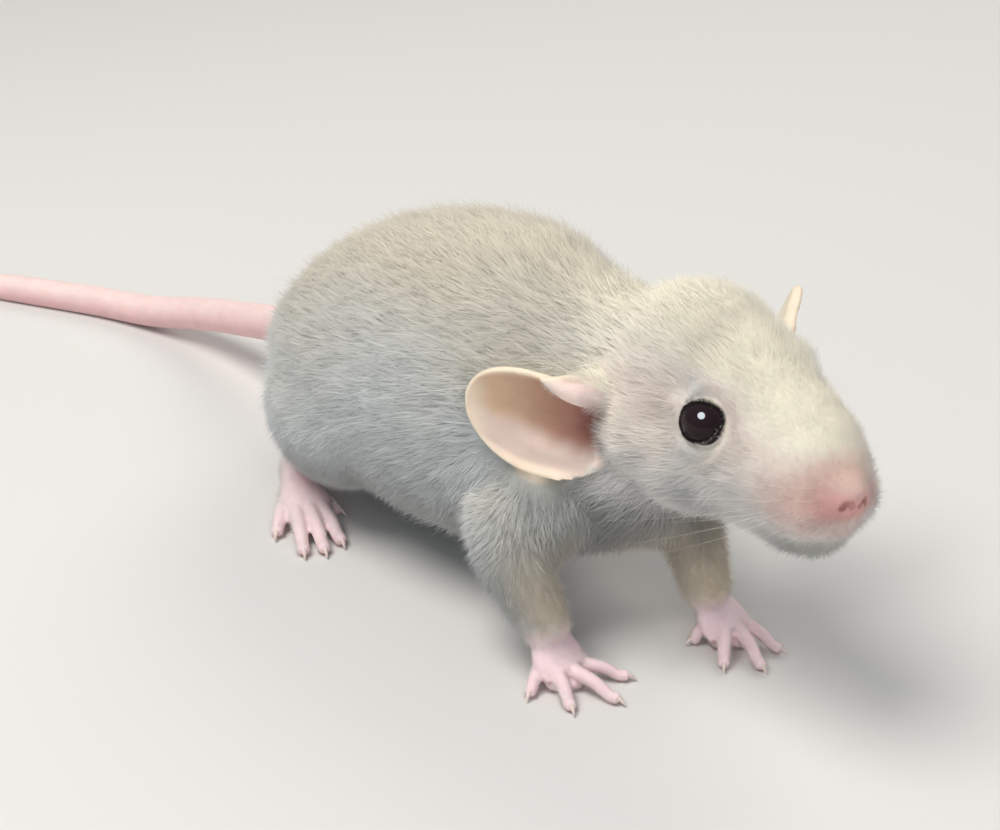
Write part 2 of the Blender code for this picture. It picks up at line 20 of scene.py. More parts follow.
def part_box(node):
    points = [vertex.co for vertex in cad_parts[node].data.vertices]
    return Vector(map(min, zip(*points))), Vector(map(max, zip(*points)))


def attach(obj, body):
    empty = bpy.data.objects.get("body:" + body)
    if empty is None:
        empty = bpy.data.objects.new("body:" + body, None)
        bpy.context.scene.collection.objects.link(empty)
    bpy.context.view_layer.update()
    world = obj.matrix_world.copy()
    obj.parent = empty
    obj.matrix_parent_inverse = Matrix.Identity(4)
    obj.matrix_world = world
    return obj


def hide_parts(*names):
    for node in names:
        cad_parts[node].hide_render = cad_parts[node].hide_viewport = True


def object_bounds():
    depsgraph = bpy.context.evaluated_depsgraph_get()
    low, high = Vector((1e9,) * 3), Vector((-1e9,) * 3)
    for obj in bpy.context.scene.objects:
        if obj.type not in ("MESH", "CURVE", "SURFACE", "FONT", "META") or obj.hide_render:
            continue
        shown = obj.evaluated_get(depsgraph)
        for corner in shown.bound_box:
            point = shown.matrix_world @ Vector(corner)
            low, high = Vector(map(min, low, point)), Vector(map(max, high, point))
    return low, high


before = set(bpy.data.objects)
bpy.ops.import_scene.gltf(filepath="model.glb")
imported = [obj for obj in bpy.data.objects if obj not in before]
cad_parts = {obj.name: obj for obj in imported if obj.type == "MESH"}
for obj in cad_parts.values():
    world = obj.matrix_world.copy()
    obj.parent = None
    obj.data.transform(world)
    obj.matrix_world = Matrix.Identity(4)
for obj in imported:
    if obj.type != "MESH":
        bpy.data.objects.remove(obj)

LOG = logging.getLogger("rat")
CAD_BOX = [list(corner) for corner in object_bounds()]
MM = 0.001
CENTRE = np.array((-55.04, -2.18, 0.0))  # the workshop point that lies at the frame's origin
LOW, HIGH = (np.array(corner) / MM + CENTRE for corner in CAD_BOX)
DISK_FOR_SQUARE = 1.13  # the width of a disk that is as large as a square, for a side of 1


# Tools


def linear(colour: str) -> np.ndarray:
    """Turns an sRGB hex colour to linear light.

    Args:
        colour: six hex digits after a hash.

    Returns:
        Red, green and blue from 0 to 1.
    """
    level = np.array([int(colour[k : k + 2], 16) / 255 for k in (1, 3, 5)])
    return np.where(level <= 0.04045, level / 12.92, ((level + 0.055) / 1.055) ** 2.4)


def ramp(low: float, high: float, value: np.ndarray) -> np.ndarray:
    """Rises smoothly from 0 at low to 1 at high, or falls where high is the smaller."""
    t = np.clip((value - low) / (high - low), 0.0, 1.0)
    return t * t * (3 - 2 * t)


def bell(value: np.ndarray, width: float) -> np.ndarray:
    """A smooth bump, 1 at zero."""
    return np.exp(-((value / width) ** 2))


def unit(vectors: np.ndarray) -> np.ndarray:
    """Vectors made one long."""
    return vectors / np.maximum(np.linalg.norm(vectors, axis=-1, keepdims=True), 1e-9)


def gap_from(points: np.ndarray, at: tuple, stretch: tuple = (1.0, 1.0, 1.0)) -> np.ndarray:
    """How far points are from one place, with each direction counted by its stretch."""
    return np.linalg.norm((points - np.array(at)) * stretch, axis=1)


def ripple(points: np.ndarray, wavelength: float, seed: int, waves: int = 10) -> np.ndarray:
    """A smooth random field from -1 to 1, made of waves in random directions.

    Args:
        points: places in millimetres.
        wavelength: the mean length of a wave, in millimetres.
        seed: picks the field.
        waves: how many waves it adds.

    Returns:
        One value for each point.
    """
    rng = np.random.default_rng(seed)
    total = np.zeros(len(points))
    for _ in range(waves):
        way = unit(rng.normal(size=3)) * (2 * math.pi / (wavelength * rng.uniform(0.7, 1.5)))
        total += np.sin(points @ way + rng.uniform(0, 2 * math.pi))
    return np.clip(total / math.sqrt(waves), -1.6, 1.6) / 1.6


def line_distance(points: np.ndarray, route: np.ndarray) -> np.ndarray:
    """The distance of each point from a route of straight runs.

    Args:
        points: places to measure from.
        route: the corners of the route, in order.

    Returns:
        One distance for each point.
    """
    best = np.full(len(points), np.inf)
    for start, end in zip(route[:-1], route[1:]):
        run = end - start
        share = np.clip((points - start) @ run / max(run @ run, 1e-9), 0, 1)
        best = np.minimum(best, np.linalg.norm(points - start - share[:, None] * run, axis=1))
    return best


def smooth_route(rows: np.ndarray, per_span: int) -> np.ndarray:
    """Rows of numbers made finer by a curve that passes through each of them.

    Args:
        rows: at least two rows.
        per_span: steps from one row to the next.

    Returns:
        The finer rows.
    """
    rows = np.asarray(rows, float)
    padded = np.vstack((2 * rows[0] - rows[1], rows, 2 * rows[-1] - rows[-2]))
    t = (np.arange(per_span) / per_span)[:, None]
    spans = [
        b + (c - a) * (t / 2) + (2 * a - 5 * b + 4 * c - d) * (t * t / 2) + (3 * b - a - 3 * c + d) * (t**3 / 2)
        for a, b, c, d in zip(padded, padded[1:], padded[2:], padded[3:])
    ]
    return np.vstack((*spans, rows[-1:]))


def tube_faces(rings: int, sides: int) -> list:
    """The faces of a closed tube of so many rings, each with so many sides."""
    faces = []
    for low in range(0, (rings - 1) * sides, sides):
        for k in range(sides):
            there = (k + 1) % sides
            faces.append((low + k, low + there, low + sides + there, low + sides + k))
    return [*faces, tuple(reversed(range(sides))), tuple(range((rings - 1) * sides, rings * sides))]


def new_piece(name: str, points: np.ndarray, faces: list) -> bpy.types.Object:
    """Links a new object with these points and faces, smooth all over."""
    mesh = bpy.data.meshes.new(name)
    mesh.from_pydata(np.asarray(points).tolist(), [], faces)
    mesh.shade_smooth()
    made = bpy.data.objects.new(name, mesh)
    bpy.context.scene.collection.objects.link(made)
    return made


def points_of(obj: bpy.types.Object, what: str = "co") -> np.ndarray:
    """The places of an object's vertices, or with "normal" their normals."""
    found = np.empty(len(obj.data.vertices) * 3, np.float32)
    obj.data.vertices.foreach_get(what, found)
    return found.reshape(-1, 3).astype(float)


def put_points(obj: bpy.types.Object, points: np.ndarray) -> None:
    """Moves an object's vertices to these places."""
    obj.data.vertices.foreach_set("co", points.astype(np.float32).ravel())
    obj.data.update()


def write_values(obj: bpy.types.Object, name: str, values: np.ndarray) -> None:
    """Stores one number or one colour for each vertex.

    Args:
        obj: the object whose mesh takes them.
        name: the attribute's name, as the materials read it.
        values: one row for each vertex, of one number or of three.
    """
    if values.ndim == 1:
        layer = obj.data.attributes.get(name) or obj.data.attributes.new(name, "FLOAT", "POINT")
        layer.data.foreach_set("value", values.astype(np.float32))
        return
    layer = obj.data.attributes.get(name) or obj.data.attributes.new(name, "FLOAT_COLOR", "POINT")
    whole = np.ones((len(values), 4), np.float32)
    whole[:, :3] = values
    layer.data.foreach_set("color", whole.ravel())


def select_only(*objects: bpy.types.Object) -> None:
    """Selects these objects and no other, the first one active."""
    bpy.ops.object.select_all(action="DESELECT")
    for obj in objects:
        obj.select_set(True)
    bpy.context.view_layer.objects.active = objects[0]


def shaped(obj: bpy.types.Object, kind: str, **settings: object) -> bpy.types.Object:
    """Adds one modifier with its settings and applies it."""
    select_only(obj)
    bpy.ops.object.modifier_add(type=kind)
    step = obj.modifiers[-1]
    for name, value in settings.items():
        setattr(step, name, value)
    bpy.ops.object.modifier_apply(modifier=step.name)
    return obj


def weighed(obj: bpy.types.Object, name: str, share: np.ndarray, steps: int) -> None:
    """Adds a vertex group with a share from 0 to 1 for each vertex, rounded to steps."""
    group = obj.vertex_groups.new(name=name)
    levels = np.round(share * steps)
    for level in range(1, steps + 1):
        chosen = np.flatnonzero(levels == level).tolist()
        if chosen:
            group.add(chosen, level / steps, "REPLACE")


def relaxed(obj: bpy.types.Object, times: int, group: str = "") -> bpy.types.Object:
    """Smooths an object so many times, all over or as one of its vertex groups says."""
    return shaped(obj, "SMOOTH", factor=0.5, iterations=times, vertex_group=group)


def surface_of(obj: bpy.types.Object, points: np.ndarray) -> BVHTree:
    """An object's surface to measure from, with its vertices at these places."""
    obj.data.calc_loop_triangles()
    return BVHTree.FromPolygons(points.tolist(), [tuple(t.vertices) for t in obj.data.loop_triangles])


def joined(name: str, objects: list) -> bpy.types.Object:
    """Joins objects into the first of them and names it."""
    select_only(*objects)
    if len(objects) > 1:
        bpy.ops.object.join()
    objects[0].name = objects[0].data.name = name
    return objects[0]


def ball(name: str, at: np.ndarray, radii: tuple, segments: int = 32) -> bpy.types.Object:
    """A round body at a place, made from a sphere."""
    bpy.ops.object.select_all(action="DESELECT")
    bpy.ops.mesh.primitive_uv_sphere_add(segments=segments, ring_count=segments // 2, radius=1.0)
    made = bpy.context.active_object
    made.name = made.data.name = name
    put_points(made, points_of(made) * np.array(radii) + np.asarray(at))
    bpy.ops.object.shade_smooth()
    return made


def swept(
    name: str,
    route: np.ndarray,
    widths: np.ndarray,
    heights: np.ndarray | None = None,
    sides: int = 16,
    per_span: int = 5,
    up: tuple = (0.0, 0.0, 1.0),
) -> bpy.types.Object:
    """A closed body swept along a smooth route.

    Args:
        name: the new object's name.
        route: the points that its middle passes through.
        widths: half its width at each point.
        heights: half its height at each point, or none where it is round.
        sides: the faces round it.
        per_span: the steps from one point of the route to the next.
        up: the way that its height is measured.

    Returns:
        The new object.
    """
    heights = widths if heights is None else heights
    rows = smooth_route(np.column_stack((route, widths, heights)), per_span)
    middle = rows[:, :3]
    along = unit(np.gradient(middle, axis=0))
    side = unit(np.cross(np.array(up), along))
    rise = np.cross(along, side)
    turn = 2 * np.pi * np.arange(sides) / sides
    ring = side[:, None] * (np.cos(turn)[:, None] * np.maximum(rows[:, 3], 0.004)[:, None, None])
    ring = ring + rise[:, None] * (np.sin(turn)[:, None] * np.maximum(rows[:, 4], 0.004)[:, None, None])
    points = (middle[:, None] + ring).reshape(-1, 3)
    return new_piece(name, points, tube_faces(len(rows), sides))


def in_place(obj: bpy.types.Object) -> bpy.types.Object:
    """Takes a finished piece from the workshop's millimetres to its place in the frame, in metres."""
    put_points(obj, (points_of(obj) - CENTRE) * MM)
    return obj


def fill(node: bpy.types.Node, sockets: dict) -> None:
    """Puts a value, or a link from another node's output, in each of these inputs."""
    for name, value in sockets.items():
        if isinstance(value, bpy.types.NodeSocket):
            node.id_data.links.new(value, node.inputs[name])
        else:
            node.inputs[name].default_value = value


def add_node(tree: bpy.types.NodeTree, kind: str, sockets: dict | None = None, **settings: object) -> bpy.types.Node:
    """Adds a shader node with its settings, values and links.

    Args:
        tree: the material's node tree.
        kind: Blender's name for the node.
        sockets: what goes in each input, by its name or number: a value, or another node's output.
        settings: the node's own properties.

    Returns:
        The new node.
    """
    made = tree.nodes.new(kind)
    for name, value in settings.items():
        setattr(made, name, value)
    fill(made, sockets or {})
    return made


def bare_material(name: str) -> tuple[bpy.types.Material, bpy.types.NodeTree, bpy.types.Node]:
    """A new material with its node tree and its Principled shader."""
    made = bpy.data.materials.new(name)
    made.use_nodes = True
    return made, made.node_tree, made.node_tree.nodes["Principled BSDF"]


# What the rat measures


class Side(Enum):
    """The rat's own right and left, with the sign of Y on each."""

    RIGHT = -1
    LEFT = 1

    @property
    def word(self) -> str:
        """The side's name in lower case."""
        return self.name.lower()


@dataclass
class Anatomy:
    """Where the rat's parts are, from the same sizes as the solids, with the solids' surfaces to measure from."""

    head_at: tuple = (40.2, 5.8, 40.3)
    head_turn: float = -4.7
    head_raise: float = 8.4
    eye_radius: float = 2.95
    eye_at: tuple = (-0.4, 7.2, 0.0)
    eye_look: tuple = (0.42, 0.88, 0.20)
    nose_at: tuple = (18.0, 0.0, -6.0)
    legs: tuple = ("foreleg_right", "foreleg_left", "hindleg_right", "hindleg_left")
    feet: tuple = ("forefoot_right", "forefoot_left", "hindfoot_right", "hindfoot_left")
    trees: dict = field(default_factory=dict)

    def __post_init__(self) -> None:
        """Works out the head's frame and takes the surfaces of the solids."""
        turn = Matrix.Rotation(math.radians(self.head_turn), 3, "Z")
        self.turn = np.array(turn @ Matrix.Rotation(math.radians(-self.head_raise), 3, "Y"))
        for name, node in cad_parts.items():
            self.trees[name] = surface_of(node, points_of(node) / MM + CENTRE)

    def from_head(self, points: np.ndarray) -> np.ndarray:
        """Points of the head's frame in the workshop's."""
        return np.asarray(points) @ self.turn.T + np.array(self.head_at)

    def in_head(self, points: np.ndarray) -> np.ndarray:
        """Points of the workshop's frame in the head's."""
        return (points - np.array(self.head_at)) @ self.turn

    def eye(self, side: Side) -> np.ndarray:
        """The middle of an eye in the head's frame."""
        return np.array(self.eye_at) * (1, side.value, 1)

    def look(self, side: Side) -> np.ndarray:
        """The way that an eye looks in the head's frame."""
        return unit(np.array(self.eye_look) * (1, side.value, 1))

    def eye_ways(self, side: Side) -> tuple[np.ndarray, np.ndarray]:
        """The ways across an eye's opening, to its front corner and upwards, in the head's frame."""
        look, ahead = self.look(side), np.array((1.0, 0.0, 0.35))
        front = unit(ahead - look * (ahead @ look))
        rise = np.cross(look, front)
        return front, rise if rise[2] > 0 else -rise

    def distance(self, points: np.ndarray, *nodes: str, reach: float = 12.0) -> np.ndarray:
        """How far each point is from the nearest of some solids, up to a reach.

        Args:
            points: places in the workshop's frame.
            nodes: the solids' names.
            reach: the distance past which it is no longer measured.

        Returns:
            One distance for each point.
        """
        best = np.full(len(points), reach)
        for node in nodes:
            low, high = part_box(node)
            low = np.array(low) / MM + CENTRE - reach
            high = np.array(high) / MM + CENTRE + reach
            near = np.flatnonzero(((points > low) & (points < high)).all(axis=1))
            find = self.trees[node].find_nearest
            for k in near:
                hit = find(points[k], reach)[3]
                if hit is not None and hit < best[k]:
                    best[k] = hit
        return best


@dataclass
class Hide:
    """What is known at each vertex of the skin: how the hair grows there and which colour it has."""

    points: np.ndarray
    normals: np.ndarray
    length: np.ndarray
    lie: np.ndarray
    tone: np.ndarray
    limb: np.ndarray
    face: np.ndarray


def whisker_root(row: int, place: int) -> tuple:
    """Where a whisker leaves the left pad, in the head's frame, by its row from the top and its place from the nose."""
    return 14.6 - 2.1 * place, 2.9 + 0.95 * place - 0.12 * place * place + 0.25 * row, -5.0 - 1.25 * row - 0.1 * place


def folded(head: np.ndarray) -> np.ndarray:
    """Points of the head's frame with its right side laid on its left."""
    return head * (1, 0, 1) + np.abs(head) * (0, 1, 0)


@dataclass
class Growth:
    """How long the hair is and which way it lies all over the body, from the sizes below, in millimetres."""

    anatomy: Anatomy
    back: float = 3.8
    belly: float = 3.5
    crown: float = 2.9
    brow: float = 2.3
    muzzle: float = 1.3
    leg: float = 1.8
    wrist: float = 1.1
    heel: float = 1.0
    lift: float = 0.24

    def length(self, points: np.ndarray) -> np.ndarray:
        """The length of the hair at each point of the outline.

        Args:
            points: places near the outline, in the workshop's frame.

        Returns:
            One length for each point, 0 where the skin is bare.
        """
        body = self.anatomy
        head = body.in_head(points)
        reach = head[:, 0]
        longest = self.belly + (self.back - self.belly) * ramp(10.0, 26.0, points[:, 2])
        for size, start, end in ((self.crown, -24.0, -10.0), (self.brow, -10.0, 1.0), (self.muzzle, 1.0, 14.0)):
            longest = longest + (size - longest) * ramp(start, end, reach)
        legs = body.distance(points, *body.legs, reach=8.0)
        feet = body.distance(points, *body.feet, reach=9.0)
        longest = longest + (self.leg - longest) * ramp(6.0, 0.0, legs) * ramp(24.0, 14.0, points[:, 2])
        longest = longest * ramp(-1.5, 6.0, feet)
        longest = np.where(feet > 0.45, np.maximum(longest, self.wrist * ramp(0.4, 1.6, feet)), 0.0)
        heel = ramp(-33.5, -37.5, points[:, 0]) * ramp(2.6, 3.8, points[:, 2]) * (feet < 2.0)
        longest = np.maximum(longest, self.heel * heel)
        for side in Side:
            longest = longest * ramp(3.3, 5.4, gap_from(head, body.eye(side)))
        ears = body.distance(points, "ear_right", "ear_left", reach=5.0)
        ahead = ramp(-17.6, -16.2, reach)
        longest = longest * (0.3 + 0.25 * ahead + (0.7 - 0.25 * ahead) * ramp(0.2, 4.5, ears))
        longest = longest * np.maximum(ramp(0.1, 0.5, ears), ahead)
        longest = longest * ramp(1.6, 3.8, gap_from(head, body.nose_at, (1.0, 0.8, 1.0)))
        tail = body.distance(points, "tail_base", reach=6.0)
        return longest * (0.35 + 0.65 * ramp(0.0, 5.0, tail)) * ramp(0.05, 0.4, tail)

    def lie(self, points: np.ndarray, normals: np.ndarray) -> np.ndarray:
        """The way that the hair lies: from the nose back over the body, down the flanks and down the limbs.

        Args:
            points: places on the skin, in the workshop's frame.
            normals: the skin's normals there.

        Returns:
            One direction for each point, one long and along the skin.
        """
        body = self.anatomy
        head = body.in_head(points)
        trunk = np.tile((-1.0, 0.0, -0.12), (len(points), 1))
        trunk[:, 2] -= 0.55 * np.abs(normals[:, 1]) * ramp(34.0, 12.0, points[:, 2])
        away = unit(points - body.from_head((18.5, 0.0, -7.0)))
        share = ramp(-26.0, -12.0, head[:, 0])[:, None]
        way = trunk * (1 - share) + away * share
        hind = body.distance(points, "hindleg_right", "hindleg_left", reach=8.0)
        fore = body.distance(points, "foreleg_right", "foreleg_left", reach=8.0)
        for gap, down, top in ((hind, (-0.5, 0.0, -0.9), 26.0), (fore, (-0.1, 0.0, -1.0), 33.0)):
            share = (ramp(7.0, 1.0, gap) * ramp(top, top - 14.0, points[:, 2]))[:, None]
            way = way * (1 - share) + np.array(down) * share
        for side in Side:
            out = head - body.eye(side)
            gap = np.linalg.norm(out, axis=1)
            way = way + 1.4 * bell(np.maximum(gap - 3.0, 0.0), 2.2)[:, None] * (unit(out) @ body.turn.T)
        way = way + 0.20 * np.stack([ripple(points, 9.0, 11 + k) for k in range(3)], axis=1)
        way = way - normals * np.sum(way * normals, axis=1, keepdims=True)
        return unit(way)


@dataclass(frozen=True)
class Markings:
    """The colours of coat and skin, as sRGB hex, and where each one lies, some of them painted light and shade. Skin
    and coat both take them from here.
    """

    # back and flank: the coat's own two tones, with painted warm light on the top and painted shade on the sides
    back: str = "#D0C7B5"
    flank: str = "#CBCFCF"
    # belly: darker than the flank, painted shade on the underside
    belly: str = "#ACADAB"
    # cheek: lightened to make up for the shade under the head, painted light
    cheek: str = "#F2F0EC"
    # wrist: tan painted shade on the forelegs, warmed as for bounced light
    wrist: str = "#DCC9AF"
    cuff: str = "#EBDFD6"
    # painted shade under the jaw and down the neck, where the head shades it
    throat_shade: str = "#9C9B96"
    temple: str = "#F3E3D7"
    # crown: the coat's own cream, made warmer as painted warm light on the top of the head
    crown: str = "#F0E8D2"
    muzzle: str = "#D6AFA4"
    nose: str = "#D8A29C"
    # nostril: partly the nostrils' own dark skin, partly painted shade in their openings
    nostril: str = "#6E2E25"
    lid: str = "#191214"
    foot: str = "#FBDEE0"
    sole: str = "#E3ABA8"
    ear_rim: str = "#EEDCC4"
    # inner ear: painted shade on the upper half of the cup, which faces down, and painted light on the lower half,
    # which faces up; the warm tan stands for light through the ear
    ear_upper: str = "#D6B595"
    ear_lower_lit: str = "#D9C3B6"
    # ear canal: dark red-brown, painted shade in the canal and the hollow round it
    ear_deep: str = "#93564E"
    ear_back: str = "#EADDC6"
    # ear root: pink bare skin on the fold and the lobe, lightened as a painted highlight
    ear_root: str = "#FBE2D8"
    # tail: its own pink, paler on top as a painted highlight and darker on the sides as painted shade
    tail: str = "#F0D4CE"
    tail_side: str = "#E4BABA"

    def coat(self, body: Anatomy, points: np.ndarray, normals: np.ndarray) -> np.ndarray:
        """The coat's colour at each point, with painted light and shade in it.

        Args:
            body: where the parts are.
            points: places on the skin, in the workshop's frame.
            normals: the skin's normals there.

        Returns:
            One linear colour for each point.
        """
        head = body.in_head(points)
        patch = ripple(points, 16.0, 3)
        clump = 1 + 0.03 * ripple(points, 3.4, 41) + 0.03 * ripple(points, 7.5, 42)
        # lighter, warmer back where the skin faces up: partly the coat's own cream, partly painted warm light from
        # above
        up = ramp(-0.15, 0.9, normals[:, 2] + 0.14 * patch) * (0.2 + 0.8 * ramp(17.0, 30.0, points[:, 2]))
        tone = mixed(linear(self.flank), linear(self.back), up)
        # darker where the skin faces down: painted shade under the body
        tone = mixed(tone, linear(self.belly), ramp(0.1, -0.7, normals[:, 2]))
        # painted shade: darker under the jaw and down the front of the neck, where the head casts its shade
        under = ramp(-30.0, -18.0, head[:, 0]) * ramp(6.0, -4.0, head[:, 0])
        under = under * ramp(-3.0, -13.0, head[:, 2]) * ramp(4.0, 14.0, points[:, 2])
        tone = mixed(tone, linear(self.throat_shade), under)
        # painted shade and warm bounced light: the forelegs tan on their forward faces, and over most of the far leg
        forelegs = body.distance(points, "foreleg_right", "foreleg_left", reach=8.0)
        forearm_shade = ramp(4.5, 1.0, forelegs) * ramp(23.0, 9.0, points[:, 2])
        inner = ramp(-0.4, 0.8, normals[:, 0] + 0.5 * normals[:, 1])
        tone = mixed(tone, linear(self.wrist), forearm_shade * np.where(points[:, 1] > 0, 0.65 + 0.3 * inner, 0.05 + 0.7 * inner))
        cuff = ramp(4.2, 0.5, body.distance(points, *body.feet, reach=5.0)) * ramp(14.0, 9.0, points[:, 2])
        tone = mixed(tone, linear(self.cuff), 0.8 * cuff)
        # creamier where the head faces up: partly the coat's own cream, partly painted warm light from above
        skull = mixed(linear(self.cheek), linear(self.crown), ramp(-0.2, 0.8, normals[:, 2] + 0.1 * patch))
        side = bell(head[:, 2] - 1.0, 7.0) * ramp(0.75, 0.2, normals[:, 2]) * ramp(-21.0, -14.0, head[:, 0])
        skull = mixed(skull, linear(self.temple), side)
        jaw = ramp(-17.0, -11.0, head[:, 2]) * ramp(2.0, -6.0, head[:, 0])
        jaw = np.maximum(jaw, ramp(-4.0, 2.0, head[:, 0]))
        tone = mixed(tone, skull, ramp(-26.0, -15.0, head[:, 0]) * jaw) * clump[:, None]
        half = folded(head)
        pad = gap_from(half, (14.0, 3.6, -6.6), (0.62, 0.8, 0.9))
        # the far side of the muzzle less pink: painted warm light on that side
        tone = mixed(tone, linear(self.muzzle), 0.9 * ramp(6.0, 1.0, pad) * (1 - 0.8 * ramp(0.0, 2.5, head[:, 1])))
        bridge = gap_from(head, (17.0, -0.6, -4.4), (0.8, 0.7, 1.0))
        tone = mixed(tone, linear(self.muzzle), 0.75 * ramp(4.6, 1.4, bridge))
        # painted shade: darker on the underside of the lower jaw
        chin_shade = ramp(-10.6, -13.0, head[:, 2]) * ramp(4.0, 10.0, head[:, 0])
        tone = mixed(tone, linear(self.throat_shade), 0.8 * chin_shade)
        wing = gap_from(half, (16.9, 2.8, -6.9))
        tone = mixed(tone, linear(self.nose), 0.85 * ramp(2.9, 0.6, wing))
        lip = gap_from(head, (17.6, 0.0, -9.8))
        return mixed(tone, linear(self.muzzle), 0.5 * ramp(3.6, 1.2, lip))


def mixed(first: np.ndarray, second: np.ndarray, share: np.ndarray) -> np.ndarray:
    """Colours part of the way from the first to the second."""
    share = np.asarray(share)[:, None]
    return first * (1 - share) + second * share


# Flesh


@dataclass
class Ear:
    """One ear: a thin round cup on a short root, creased along its length, with a rolled rim."""

    anatomy: Anatomy
    side: Side
    root: tuple
    along: tuple
    facing: tuple
    depth: float
    length: float = 20.9
    bend: float = 1.4  # how far the tip leans to the upper edge
    width: float = 14.5
    thick: float = 0.72
    mouth: float = 0.2  # where the face's fur ends and the cup opens, as a share of the length
    fold: float = 1.0  # the size of the ridge above the canal
    crease: float = 0.02
    sink: float = 4.6
    buried: float = 0.12
    rows: int = 48
    columns: int = 36

    def __post_init__(self) -> None:
        """Works out the ear's own directions."""
        self.u_way = unit(np.array(self.along))
        self.v_way = unit(np.cross(np.array(self.facing), self.u_way))
        self.out = np.cross(self.u_way, self.v_way)
        self.low = 1.0 if self.v_way[2] < 0 else -1.0

    def leant(self, u: np.ndarray) -> np.ndarray:
        """How far the middle line lies to the upper edge at a share of the length."""
        return -self.low * self.bend * ramp(0.35, 1.1, u)

    def half(self, u: np.ndarray, inset: float = 0.0) -> np.ndarray:
        """Half the width at a share of the length, less an inset: a wide root, then nearly a circle."""
        root = np.sqrt(np.maximum(0.0, 1 - (1 - 0.62**2) * ((0.52 - u) / 0.52) ** 2))
        disc = np.sqrt(np.maximum(0.0, 1 - ((u - 0.52) / (0.48 - inset / self.length)) ** 2))
        return (self.width / 2 - inset) * np.where(u < 0.52, root, disc)

    def wall(self, u: np.ndarray, v: np.ndarray) -> np.ndarray:
        """The thickness of the cup, a little more along its rim and at its root."""
        edge = np.maximum(np.abs(v), u)
        return self.thick * (1 + 0.3 * bell(edge - 0.92, 0.08)) + 0.5 * ramp(0.35, 0.0, u)

    def surface(self, u: np.ndarray, v: np.ndarray) -> np.ndarray:
        """Points of the cup's inner face, in the head's frame.

        Args:
            u: shares of the length, from the root.
            v: shares of half the width, -1 to 1.

        Returns:
            One point for each pair.
        """
        lower = v * self.low
        bent = (lower - self.crease) / np.where(lower > self.crease, 1 - self.crease, 1 + self.crease)
        profile = 1 - np.abs(bent) ** 1.7
        hollow = self.depth * profile * (1 - u**3) + 0.8 * (1 - u) ** 2
        hollow = hollow + 0.5 * bell(bent, 0.16) * ramp(1.0, 0.35, u) + self.sink * ramp(0.36, -self.buried, u)
        hollow = hollow - 0.7 * bell(lower - 0.55, 0.16) * ramp(0.22, 0.34, u) * ramp(0.72, 0.48, u)
        hollow = hollow - 0.5 * ramp(0.86, 1.0, np.abs(v)) * ramp(0.1, 0.4, u) * ramp(1.02, 0.8, u)
        return (
            np.array(self.root)
            + self.u_way * (self.length * u)[:, None]
            + self.v_way * (self.half(np.minimum(u, 0.995)) * v + self.leant(u))[:, None]
            - self.out * hollow[:, None]
        )

    def build(self) -> bpy.types.Object:
        """Makes the cup as a closed body in the workshop's frame."""
        u = -self.buried + (1 + self.buried) * np.sin(np.linspace(0, 1, self.rows + 1) * np.pi / 2)
        v = np.sin(np.linspace(-1, 1, self.columns + 1) * np.pi / 2)
        grid_u, grid_v = (g.ravel() for g in np.meshgrid(u, v, indexing="ij"))
        front = self.surface(grid_u, grid_v)
        wall = self.wall(grid_u, grid_v)
        back = front - self.out * wall[:, None]
        step, count = self.columns + 1, len(front)
        faces = []
        for i in range(self.rows):
            for k in range(self.columns):
                a, b, c, d = i * step + k, i * step + k + 1, (i + 1) * step + k + 1, (i + 1) * step + k
                faces += [(a, b, c, d), (count + a, count + d, count + c, count + b)]
        rim = list(range(self.columns)) + [i * step + self.columns for i in range(self.rows)]
        rim += [self.rows * step + k for k in range(self.columns, 0, -1)] + [i * step for i in range(self.rows, 0, -1)]
        for k, here in enumerate(rim):
            there = rim[(k + 1) % len(rim)]
            faces.append((here, count + here, count + there, there))
        inset = 0.5 * self.thick
        sheet_u = np.minimum(grid_u, 1 - inset / self.length)
        sheet_v = grid_v * self.half(sheet_u, inset) / np.maximum(self.half(sheet_u), 0.1)
        sheet = self.surface(sheet_u, sheet_v) - self.out * (0.5 * wall)[:, None]
        inner = faces[::2][: self.rows * self.columns]
        self.sheet = BVHTree.FromPolygons(self.anatomy.from_head(sheet).tolist(), inner)
        points = self.anatomy.from_head(np.vstack((front, back)))
        return outward(new_piece(f"ear_{self.side.word}_cup", points, faces))

    def opened(self, points: np.ndarray) -> np.ndarray:
        """Flesh that stands in the mouth of the cup, pressed back behind the cup's inner face.

        Args:
            points: places on the flesh, in the workshop's frame.

        Returns:
            The same points, moved where they were in the way.
        """
        head = self.anatomy.in_head(points)
        u, v = self.place(head)
        height = self.raised(head, u, v)
        share = ramp(-0.03, 0.04, u - self.mouth) * ramp(0.8, 0.6, u) * ramp(1.15, 0.95, np.abs(v))
        share = share * (height > -0.5) * (height < 9.0)
        return self.anatomy.from_head(head - self.out * (share * (height + 0.5))[:, None])

    def settled(self, points: np.ndarray) -> np.ndarray:
        """Fused skin of the cup, drawn on to an even wall about the cup's own middle sheet, with a round rim."""
        u, v = self.place(self.anatomy.in_head(points))
        near = np.flatnonzero((u > 0.25) & (u < 1.2) & (np.abs(v) < 1.6))
        share, wall = ramp(0.32, 0.5, u), self.wall(np.clip(u, 0, 1), np.clip(v, -1, 1))
        for k in near:
            at, _, _, gap = self.sheet.find_nearest(points[k], 0.95)
            if at is not None and gap > 1e-3:
                drawn = np.array(at) + (points[k] - at) * (0.5 * wall[k] / gap)
                points[k] += (drawn - points[k]) * share[k]
        return points

